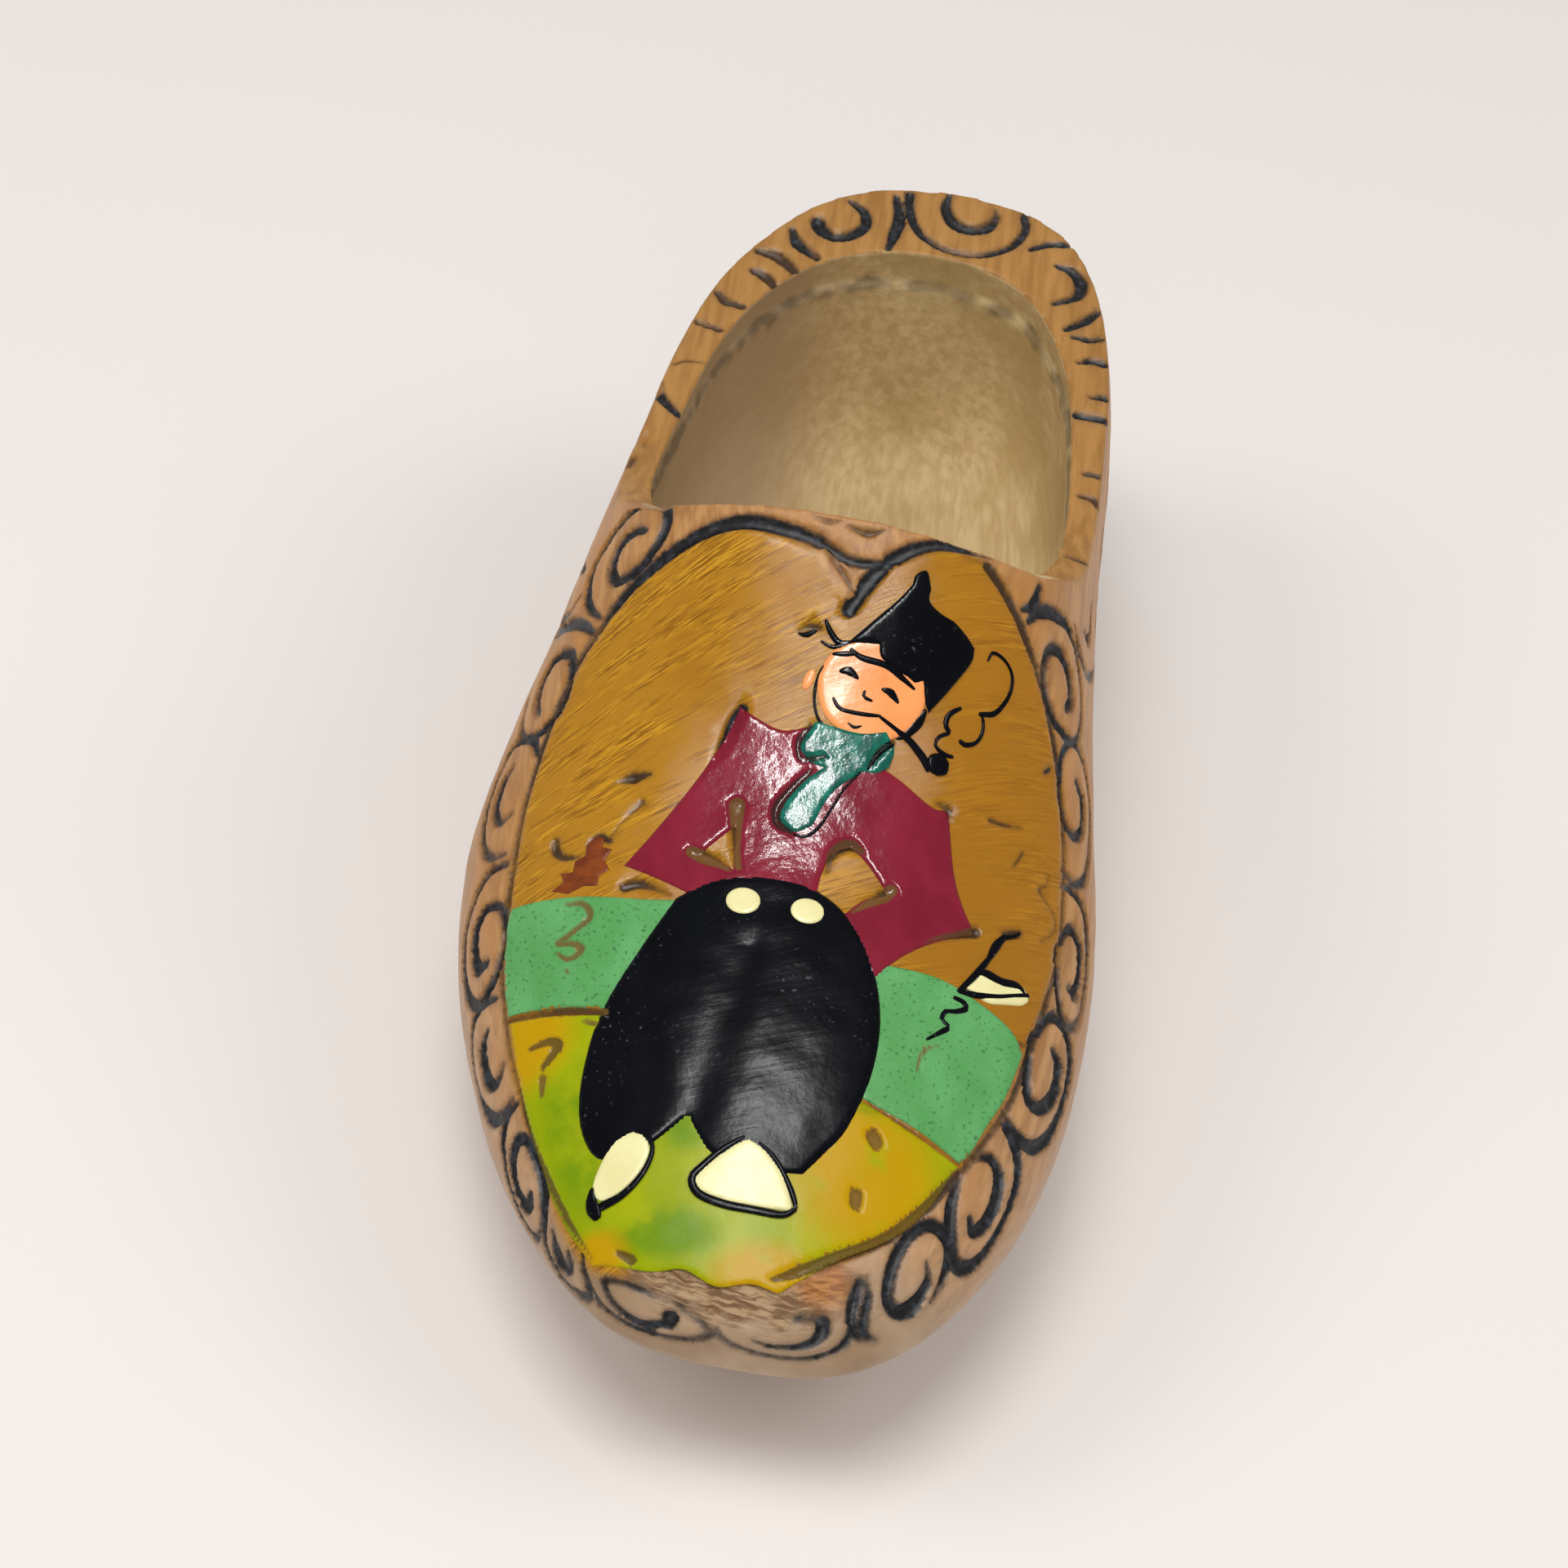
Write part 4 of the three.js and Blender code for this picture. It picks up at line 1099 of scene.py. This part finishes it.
# One coat: a fine slab trimmed to its outline, bent over the wood, with rounded edges.
def coat(name, slot, strokes, thick, onto=0.0, rounding=0.5, spacing=0.4, hole=None, fold=None):
    outline = closedOutline(strokes) * np.array([stretch["x"], stretch["y"]])
    low, high = outline.min(axis=0) - paint["margin"], outline.max(axis=0) + paint["margin"]
    spans = np.ceil((high - low) / spacing).astype(int)
    bm = bmesh.new()
    bmesh.ops.create_grid(bm, x_segments=int(spans[0]), y_segments=int(spans[1]), size=0.5)
    for v in bm.verts:
        across = low[0] + (v.co.x + 0.5) * (high[0] - low[0])
        along = low[1] + (v.co.y + 0.5) * (high[1] - low[1])
        v.co = (across * mm, along * mm, 0)
    grown = bmesh.ops.extrude_face_region(bm, geom=list(bm.faces))
    bmesh.ops.translate(bm, vec=(0, 0, -mm), verts=grownVerts(grown))
    bmesh.ops.recalc_face_normals(bm, faces=bm.faces)
    piece = newObject(name, bm, None)
    cut(piece, planBlock("outline", outline), "INTERSECT")
    if hole is not None:
        inner = closedOutline(hole) * np.array([stretch["x"], stretch["y"]])
        cut(piece, planBlock("hole", inner), "DIFFERENCE")
    bm = bmesh.new()
    bm.from_mesh(piece.data)
    bmesh.ops.triangulate(bm, faces=bm.faces)
    bmesh.ops.remove_doubles(bm, verts=bm.verts, dist=paint["weld"] * mm)
    bm.to_mesh(piece.data)
    bm.free()
    points = readPoints(piece.data)
    edge = np.abs(signedDistance(points[:, :2], outline))
    if hole is not None:
        edge = np.minimum(edge, np.abs(signedDistance(points[:, :2], inner)))
    t = np.clip(edge / rounding, 0, 1)
    upper = points[:, 2] > -0.5
    over = overPlan(points[:, 0], points[:, 1])
    mark, wide, tone = paintLines.measure(over)
    swell = paint["edge"] + (1 - paint["edge"]) * np.sqrt(1 - (1 - t) ** 2)
    lift = onto + thick * swell + paint["wavy"] * noiseAt(over, 2.2, 4)
    lift = lift - gougeDepth(mark, wide) - uneven(over)
    if fold:
        away = np.abs(signedDistance(points[:, :2], fold["line"]))
        lift = lift - fold["depth"] * np.exp(-(away / fold["wide"]) ** 2)
    mark = np.where(tone < 0, farAway, mark)
    writePoints(piece.data, draped(points[:, 0], points[:, 1], np.where(upper, lift, paint["sunk"])))
    writeAttribute(piece.data, "mark", mark)
    writeAttribute(piece.data, "tone", tone)
    paintWith(piece, enamels[slot])
    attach(piece, "root")


def planBlock(name, outline):
    bm = bmesh.new()
    flat = bm.faces.new([bm.verts.new((x * mm, y * mm, 3 * mm)) for x, y in outline])
    grown = bmesh.ops.extrude_face_region(bm, geom=[flat])
    bmesh.ops.translate(bm, vec=(0, 0, -6 * mm), verts=grownVerts(grown))
    bmesh.ops.recalc_face_normals(bm, faces=bm.faces)
    return newObject(name, bm, None)


def oval(x, y, wide, deep, turn=0.0):
    a = np.linspace(0, 2 * math.pi, 13)
    c, s = math.cos(math.radians(turn)), math.sin(math.radians(turn))
    u, v = wide / 2 * np.cos(a), deep / 2 * np.sin(a)
    return [[(x + p * c - q * s, y + p * s + q * c) for p, q in zip(u, v)]]


meadowLeft = [[(-26.4, -41.1), (-20, -41.3), (-13, -41.8), (-7, -41.6)], [(-7, -41.6), (-11, -53.9)],
              [(-11, -53.9), (-17, -53.4), (-23.4, -52.8)], [(-23.4, -52.8), (-25.2, -47.5),
                                                             (-26.4, -41.1)]]
coat("meadow_left", "green", meadowLeft, 0.09, rounding=0.3)
meadowRight = [[(10, -44.9), (14, -44.4), (17.6, -44.1), (21.7, -44.8), (25.4, -45.9), (26.9, -47.6)],
               [(26.9, -47.6), (26.5, -50.1), (25.9, -53.2), (24.6, -56.9), (23.5, -60.2)],
               [(23.5, -60.2), (22.6, -61.4)],
               [(22.6, -61.4), (18.5, -60.2), (14, -59.2), (10, -58.2)], [(10, -58.2), (10, -44.9)]]
coat("meadow_right", "green", meadowRight, 0.09, rounding=0.3)
field = [[(-23.2, -53.3), (-18, -53.9), (-10, -54.5)], [(-10, -54.5), (0, -62), (9, -58.3)],
         [(9, -58.3), (14, -59.6), (18, -60.7), (22.6, -61.8)],
         [(22.6, -61.8), (20.5, -67), (17.4, -70.9), (13, -74.2), (8.2, -78.2)],
         [(8.2, -78.2), (5.5, -77.9), (2.4, -78.6), (-1, -77.6), (-4, -78), (-9.6, -77.3)],
         [(-9.6, -77.3), (-14, -72.3), (-19.4, -63), (-23.2, -53.3)]]
coat("field", "yellow", field, 0.09, rounding=0.3)
bushPoints = [(-22.2, -40.3), (-21.1, -39.5), (-21.6, -38.5), (-20.4, -38.5), (-20.4, -37.3),
              (-19.5, -36.9), (-19.6, -35.6),
              (-18.8, -34.8), (-18, -35.1), (-17.9, -36.1), (-16.9, -36.4), (-17.4, -37.5), (-16.7, -38.6),
              (-17.6, -39.2),
              (-17.5, -40.3), (-18.9, -40.2), (-20.3, -40.9)]
bush = [[a, b] for a, b in zip(bushPoints, bushPoints[1:] + bushPoints[:1])]
coat("bush", "rust", bush, 0.08, rounding=0.3, spacing=0.25)
boat = [[(20.2, -43.9), (20.9, -42.9), (21.4, -41.8)], [(21.4, -41.8), (23.6, -41.7), (26, -40.7)],
        [(26, -40.7), (26.6, -41.5), (26, -42.6), (24.6, -43.5)], [(24.6, -43.5), (22.6, -44.4),
                                                                   (20.2, -43.9)]]
coat("boat", "cream", boat, 0.2, rounding=0.4, spacing=0.25)
jacket = [[(-7.2, -22), (-8, -24.5), (-9.6, -28.2), (-12.2, -33), (-15.3, -38.2)],
          [(-15.3, -38.2), (-12, -39.4), (-7.5, -41.2)],
          [(-7.5, -41.2), (-2, -40.6), (5.6, -40.6)], [(5.6, -40.6), (4.2, -38.6), (4.4, -35.6),
                                                       (5.2, -33.9), (6.5, -33.1)],
          [(6.5, -33.1), (8.6, -34.6), (11, -37)], [(11, -37), (9, -38.2), (7.2, -40.3)],
          [(7.2, -40.3), (8.6, -43), (11.2, -46.6)], [(11.2, -46.6), (13.4, -43.4), (16.5, -40.4),
                                                      (20.2, -37.8)],
          [(20.2, -37.8), (18.6, -35.7), (17, -32.4), (15.4, -26.8)], [(15.4, -26.8), (13.6, -27),
                                                                       (10, -25.6), (6, -24.4)],
          [(6, -24.4), (3.4, -23.6), (0.4, -22.8)], [(0.4, -22.8), (-2.5, -23.6), (-5.2, -22.9),
                                                     (-7.2, -22)]]
elbowGap = [[(-5.2, -33.2), (-6.6, -34.8), (-7.9, -36.3)], [(-7.9, -36.3), (-6.4, -36.8), (-4.4, -37.9)],
            [(-4.4, -37.9), (-4.8, -35.8), (-5.2, -33.2)]]
coat("jacket", "raspberry", jacket, 0.2, spacing=0.32, hole=elbowGap)
trousers = [[(-9.4, -41.5), (-6, -39.2), (-1, -38.1), (3.6, -38.4), (7.4, -40.4), (10.6, -44.5),
             (12.6, -50), (12.9, -56), (11.6, -62),
             (9.9, -65), (8.3, -67.4)],
            [(8.3, -67.4), (7, -67.6), (4, -68), (-0.2, -67.2), (-2.4, -65.4), (-3.6, -64)],
            [(-3.6, -64), (-6.3, -66.7), (-8.5, -68), (-11.3, -68.2), (-13.6, -65), (-14.5, -60),
             (-14, -54), (-11.6, -47), (-9.4, -41.5)]]
crease = {"line": np.array([(-3.3, -66.0), (-2.4, -58), (-1.4, -50), (-1.2, -46)]),
          "depth": 0.16, "wide": 1.8}
coat("trousers", "black", trousers, 0.3, fold=crease)
coat("button_left", "cream", oval(-2.8, -41.1, 3.4, 2.8), 0.1, onto=0.3, rounding=0.6, spacing=0.25)
coat("button_right", "cream", oval(3.6, -41, 3.3, 2.7), 0.1, onto=0.3, rounding=0.6, spacing=0.25)
shoeLeft = [[(-8.4, -65.7), (-7.1, -66.2), (-6.4, -67.6), (-6.9, -69.6), (-8.2, -71.3), (-9.9, -72.1),
             (-10.9, -71), (-10.7, -69),
             (-9.9, -66.9), (-8.4, -65.7)]]
coat("shoe_left", "cream", shoeLeft, 0.12, onto=0.24, rounding=0.6, spacing=0.3)
shoeRight = [[(2.6, -65.1), (4.3, -65.9), (6.2, -67.6), (7.5, -69.7), (7.8, -70.8), (6.8, -71.1),
              (4, -71.2), (1.2, -71.1), (-1, -70.5),
              (-1.5, -69.4), (-0.2, -67.6), (1.3, -66), (2.6, -65.1)]]
coat("shoe_right", "cream", shoeRight, 0.12, onto=0.24, rounding=0.6, spacing=0.3)
scarf = [[(0.6, -22.4), (-0.5, -24.6), (0.8, -25.9), (2.3, -26.2)], [(2.3, -26.2), (0.6, -27.8),
                                                                     (-0.7, -29.8), (-1.2, -31.8)],
         [(-1.2, -31.8), (0.5, -33), (2.3, -32)], [(2.3, -32), (3.6, -28.4), (6.2, -25.8)],
         [(6.2, -25.8), (7.6, -25.6), (8.7, -24.8)], [(8.7, -24.8), (8.9, -23.2), (7.8, -21.9)],
         [(7.8, -21.9), (5, -22.6), (0.6, -22.4)]]
coat("scarf", "teal", scarf, 0.12, onto=0.2, rounding=0.6, spacing=0.3)
face = [[(5.4, -14.6), (1.6, -15.8), (0, -18.6), (1.4, -21.7), (5.2, -23.2), (9, -22), (11, -19),
         (10.2, -16.2), (7.8, -14.8), (5.4, -14.6)]]
coat("face", "skin", face, 0.14, onto=0.08, rounding=0.6, spacing=0.3)
coat("ear", "skin", oval(-0.9, -19, 1.9, 1, 70), 0.1, rounding=0.4, spacing=0.25)
hat = [[(2.2, -15.5), (4.4, -13.2), (6.4, -11), (7.6, -9.3)], [(7.6, -9.3), (7.8, -8.3), (8.8, -7.7),
                                                               (9.5, -9)],
       [(9.5, -9), (9.6, -10.1), (10.8, -10.7), (12.4, -10.9)], [(12.4, -10.9), (13.8, -11.5),
                                                                 (14.9, -12.2)],
       [(14.9, -12.2), (14.8, -13.6), (13.2, -16.6), (11.6, -19.1)], [(11.6, -19.1), (11, -18.2),
                                                                      (10.5, -16.7)],
       [(10.5, -16.7), (9.7, -17.2), (9.1, -17)], [(9.1, -17), (7.6, -16.7), (6.4, -16.3)],
       [(6.4, -16.3), (5.7, -15.9), (5.4, -15)], [(5.4, -15), (3.6, -15.2), (2.2, -15.5)]]
coat("hat", "black", hat, 0.14, onto=0.16, rounding=0.6, spacing=0.3)
for name in ("meadow_left", "meadow_right", "field", "bush", "boat", "jacket", "trousers", "button_left",
             "button_right", "shoe_left", "shoe_right", "scarf", "face", "hat"):
    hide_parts(name + "_enamel")
print("coats laid")


# A brush line is a ball drawn out along its path, flat on the surface below it.
def brushLine(line, widths, onto, thick=0.14):
    path = smoothPath(line, 12) * np.array([stretch["x"], stretch["y"]])
    run = np.r_[0, np.cumsum(np.linalg.norm(np.diff(path, axis=0), axis=1))]
    count = max(8, int(run[-1] / 0.3))

    def place(s, a):
        t = (s + 1) / 2 * run[-1]
        x, y = np.interp(t, run, path[:, 0]), np.interp(t, run, path[:, 1])
        ahead, behind = np.minimum(t + 0.15, run[-1]), np.maximum(t - 0.15, 0)
        dx = np.interp(ahead, run, path[:, 0]) - np.interp(behind, run, path[:, 0])
        dy = np.interp(ahead, run, path[:, 1]) - np.interp(behind, run, path[:, 1])
        size = np.maximum(np.hypot(dx, dy), 1e-9)
        wide = np.interp(t, np.linspace(0, run[-1], len(widths)), widths) / 2
        blunt = closing(s, 2 + run[-1] / 1.2)
        side = wide * blunt * np.sin(a)
        across, along = x - dy / size * side, y + dx / size * side
        under = uneven(overPlan(across, along))
        return draped(across, along, onto - under + thick * blunt * np.cos(a))

    return mouldedBall("stroke", place, 10, count)


def brushPiece(name, slot, lines, onto):
    strokes = [brushLine(line, widths, onto) for line, widths in lines]
    bm = bmesh.new()
    for stroke in strokes:
        bm.from_mesh(stroke.data)
        bpy.data.objects.remove(stroke)
    piece = newObject(name, bm, enamels[slot])
    writeAttribute(piece.data, "mark", np.full(len(piece.data.vertices), farAway))
    writeAttribute(piece.data, "tone", np.zeros(len(piece.data.vertices)))
    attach(piece, "root")


brushPiece("cap_strings", "black", [
    ([(-0.4, -13.9), (0.4, -14.9), (1.5, -15.6), (2.8, -15.5)], [0.4, 0.6, 0.6, 0.9]),
    ([(-0.5, -15.7), (0.9, -16), (2.8, -15.4)], [0.25, 0.4, 0.8]),
    ([(-2.9, -15.4), (-2, -15.4), (-1, -14.9)], [0.2, 0.5, 0.3]),
], 0.05)
brushPiece("brim", "black", [
    ([(0.9, -16.6), (2.2, -16.4), (3.5, -16.1)], [0.3, 0.5, 0.4]),
    ([(2.6, -15.9), (4, -16.4), (6.5, -16.5), (8.3, -17.1), (9.8, -17.7)], [0.4, 0.6, 0.6, 0.6, 0.3]),
], 0.2)
brushPiece("features", "black", [
    ([(1.9, -17.9), (3, -17.7), (4.1, -18.2)], [0.5, 1, 0.4]),
    ([(6.4, -18.5), (7.5, -18.6), (8.5, -19.3)], [0.4, 1, 0.4]),
    ([(4.9, -18.9), (4.9, -19.5), (5.9, -19.7)], [0.5, 0.4, 0.35]),
    ([(1.8, -20.1), (2.7, -20.9), (4.1, -21), (5.6, -20.9), (7, -20.7)], [0.5, 0.5, 0.5, 0.5, 0.4]),
    ([(3.7, -21.9), (4.5, -22.2), (5.3, -21.9)], [0.25, 0.4, 0.25]),
], 0.14)
brushPiece("face_outline", "black", [
    ([(1.2, -16.6), (0.3, -17.8), (-0.1, -19.2), (0.1, -20.8), (0.9, -22.2), (2.4, -23), (4.4, -23.4),
      (6.4, -23.3), (8.4, -22.6)],
     [0.3, 0.35, 0.35, 0.3, 0.35, 0.35, 0.35, 0.3, 0.25]),
    ([(11.3, -18.9), (10.9, -19.9), (10, -21.3), (8.9, -22.2)], [0.4, 1.1, 0.8, 0.3]),
], 0.04)
brushPiece("pipe", "black", [
    ([(6.6, -20.7), (8.6, -21.4), (10.1, -21.9), (11.3, -22.6), (12.1, -23.2), (12.8, -23.9)],
     [0.4, 0.5, 0.55, 0.7, 0.8, 0.9]),
    ([(12.5, -23.4), (13.4, -23.1), (14.6, -23.1)], [1.6, 2.1, 1.4]),
], 0.14)
brushPiece("smoke", "black", [
    ([(14.9, -21.9), (13.9, -22), (12.9, -21.6), (13, -20.8), (14.1, -20)], [0.35, 0.45, 0.35, 0.35, 0.4]),
    ([(14.1, -20), (13.5, -19.5), (13.7, -18.5), (14.8, -17.5)], [0.5, 0.6, 0.45, 0.35]),
    ([(15.1, -20.3), (15.9, -20.4), (16.9, -19.7), (17.3, -18.5), (17.1, -17.5), (16.7, -17.1)],
     [0.5, 0.45, 0.35, 0.35, 0.35, 0.3]),
    ([(16.6, -17.3), (18.1, -16.5), (19, -15), (19.4, -13.5), (19.2, -12.1), (18.2, -11.4), (16.9, -11.5),
      (16.5, -12.5)],
     [0.4, 0.5, 0.4, 0.35, 0.35, 0.35, 0.35, 0.2]),
], 0.04)
brushPiece("grass", "black", [
    ([(19.2, -45.5), (20.3, -45.6), (20.6, -46.2), (19.5, -47), (18.8, -47.2), (18.5, -48.2),
      (19.3, -48.8), (18.7, -49.6), (17.4, -51)],
     [0.5, 0.6, 0.6, 0.45, 0.5, 0.4, 0.6, 0.4, 0.3]),
], 0.1)
brushPiece("boat_lines", "black", [
    ([(23.2, -36.4), (22.5, -37.9), (22, -39.6), (21.2, -41.6), (20.2, -43.6), (19.6, -44.8)],
     [0.5, 0.9, 0.5, 0.7, 0.6, 0.6]),
    ([(24.6, -35.2), (24.1, -35.9), (23.2, -36.6)], [0.3, 0.35, 0.5]),
    ([(20.9, -41.9), (21.9, -41.5), (23.6, -41.5), (25.2, -40.9), (26.1, -41.3)], [0.5, 1, 0.9, 0.8, 0.5]),
    ([(19.7, -44.6), (21.4, -44.2), (23.4, -43.3), (25, -42.2), (26.5, -41.1)], [0.6, 0.7, 0.6, 0.5, 0.5]),
], 0.12)
brushPiece("shoe_outline", "black", [
    ([(-8, -65.5), (-6.7, -66.2), (-6.1, -67.6), (-6.6, -69.7), (-8, -71.6), (-9.9, -72.7)],
     [0.3, 0.4, 0.5, 0.6, 0.7, 0.9]),
    ([(-11, -70.9), (-10.8, -72.2), (-10.2, -73.1), (-9.8, -73.7)], [0.4, 0.9, 1.3, 0.8]),
    ([(2.2, -65), (0.3, -66.6), (-1.2, -68.4), (-1.9, -69.6), (-1, -70.9), (1.4, -71.5), (4.4, -71.6),
      (7.1, -71.5), (8.2, -70.8)],
     [0.4, 0.6, 0.7, 0.8, 0.8, 0.8, 0.7, 0.7, 0.5]),
    ([(3.6, -65.3), (5.3, -66.4), (7, -68.4), (8.1, -70.2), (8.2, -71)], [0.4, 0.5, 0.5, 0.6, 0.4]),
], 0.24)
brushPiece("scarf_lines", "black", [
    ([(0.6, -33.2), (1.9, -33.2), (3, -32), (3.9, -29.8), (4.7, -27.8), (6, -25.9)],
     [0.25, 0.4, 0.3, 0.3, 0.25, 0.2]),
    ([(6.6, -25.6), (7.4, -23.9), (8.8, -22.7)], [0.25, 0.4, 0.3]),
], 0.2)
print("brush lines drawn")

bm = bmesh.new()
bmesh.ops.create_grid(bm, x_segments=1, y_segments=1, size=3)
floorPaint = Shader("floor", Roughness=0.9)
floorPaint.finish(tint(238, 232, 228))
floor = newObject("floor", bm, floorPaint.material)

sky = bpy.data.worlds.new("studio")
scene.world = sky
sky.use_nodes = True
sky.node_tree.nodes["Background"].inputs["Color"].default_value = (1, 0.985, 0.97, 1)
sky.node_tree.nodes["Background"].inputs["Strength"].default_value = 0.35
scene.view_settings.view_transform = "Standard"


def softbox(name, place, toward, wide, tall, power):
    lamp = bpy.data.lights.new(name, "AREA")
    lamp.shape = "RECTANGLE"
    lamp.size = wide
    lamp.size_y = tall
    lamp.energy = power
    holder = bpy.data.objects.new(name, lamp)
    scene.collection.objects.link(holder)
    holder.location = place
    holder.rotation_euler = (Vector(toward) - Vector(place)).to_track_quat("-Z", "Y").to_euler()
    return holder


softbox("key", (-0.85, -0.2, 0.9), (0, 0, 0.03), 0.5, 0.5, 2.9).visible_glossy = False
softbox("fill", (0.85, 0.1, 0.85), (0, 0, 0.03), 0.6, 0.6, 2.8).visible_glossy = False
softbox("front", (0.15, -1.0, 0.7), (0, 0, 0.03), 0.6, 0.5, 1.3).visible_glossy = False
softbox("top", (-0.1, -0.22, 1.05), (0, -0.1, 0), 0.5, 0.5, 5).visible_glossy = False
softbox("strip", (-0.045, -0.22, 1.05), (-0.045, -0.22, 0), 0.016, 0.5, 8).visible_diffuse = False

view = {"azimuth": 3.92, "elevation": 40.55, "roll": 7.73, "distance": 0.3814, "lens": 82.2,
        "target": (0.0006, -0.010, 0.030), "shift": (-0.0218, -0.0115)}
a, e, r = (math.radians(view[k]) for k in ("azimuth", "elevation", "roll"))
back = Vector((math.sin(a) * math.cos(e), -math.cos(a) * math.cos(e), math.sin(e)))
level = Vector((math.cos(a), math.sin(a), 0))
above = back.cross(level)
rightWay = level * math.cos(r) + above * math.sin(r)
upWay = above * math.cos(r) - level * math.sin(r)
lens = bpy.data.cameras.new("camera")
lens.sensor_width = 36
lens.lens = view["lens"]
lens.shift_x, lens.shift_y = view["shift"]
lens.clip_start = 0.01
eye = bpy.data.objects.new("camera", lens)
scene.collection.objects.link(eye)
turned = Matrix((rightWay, upWay, back)).transposed().to_4x4()
eye.matrix_world = Matrix.Translation(Vector(view["target"]) + back * view["distance"]) @ turned
scene.camera = eye
print("stage set")
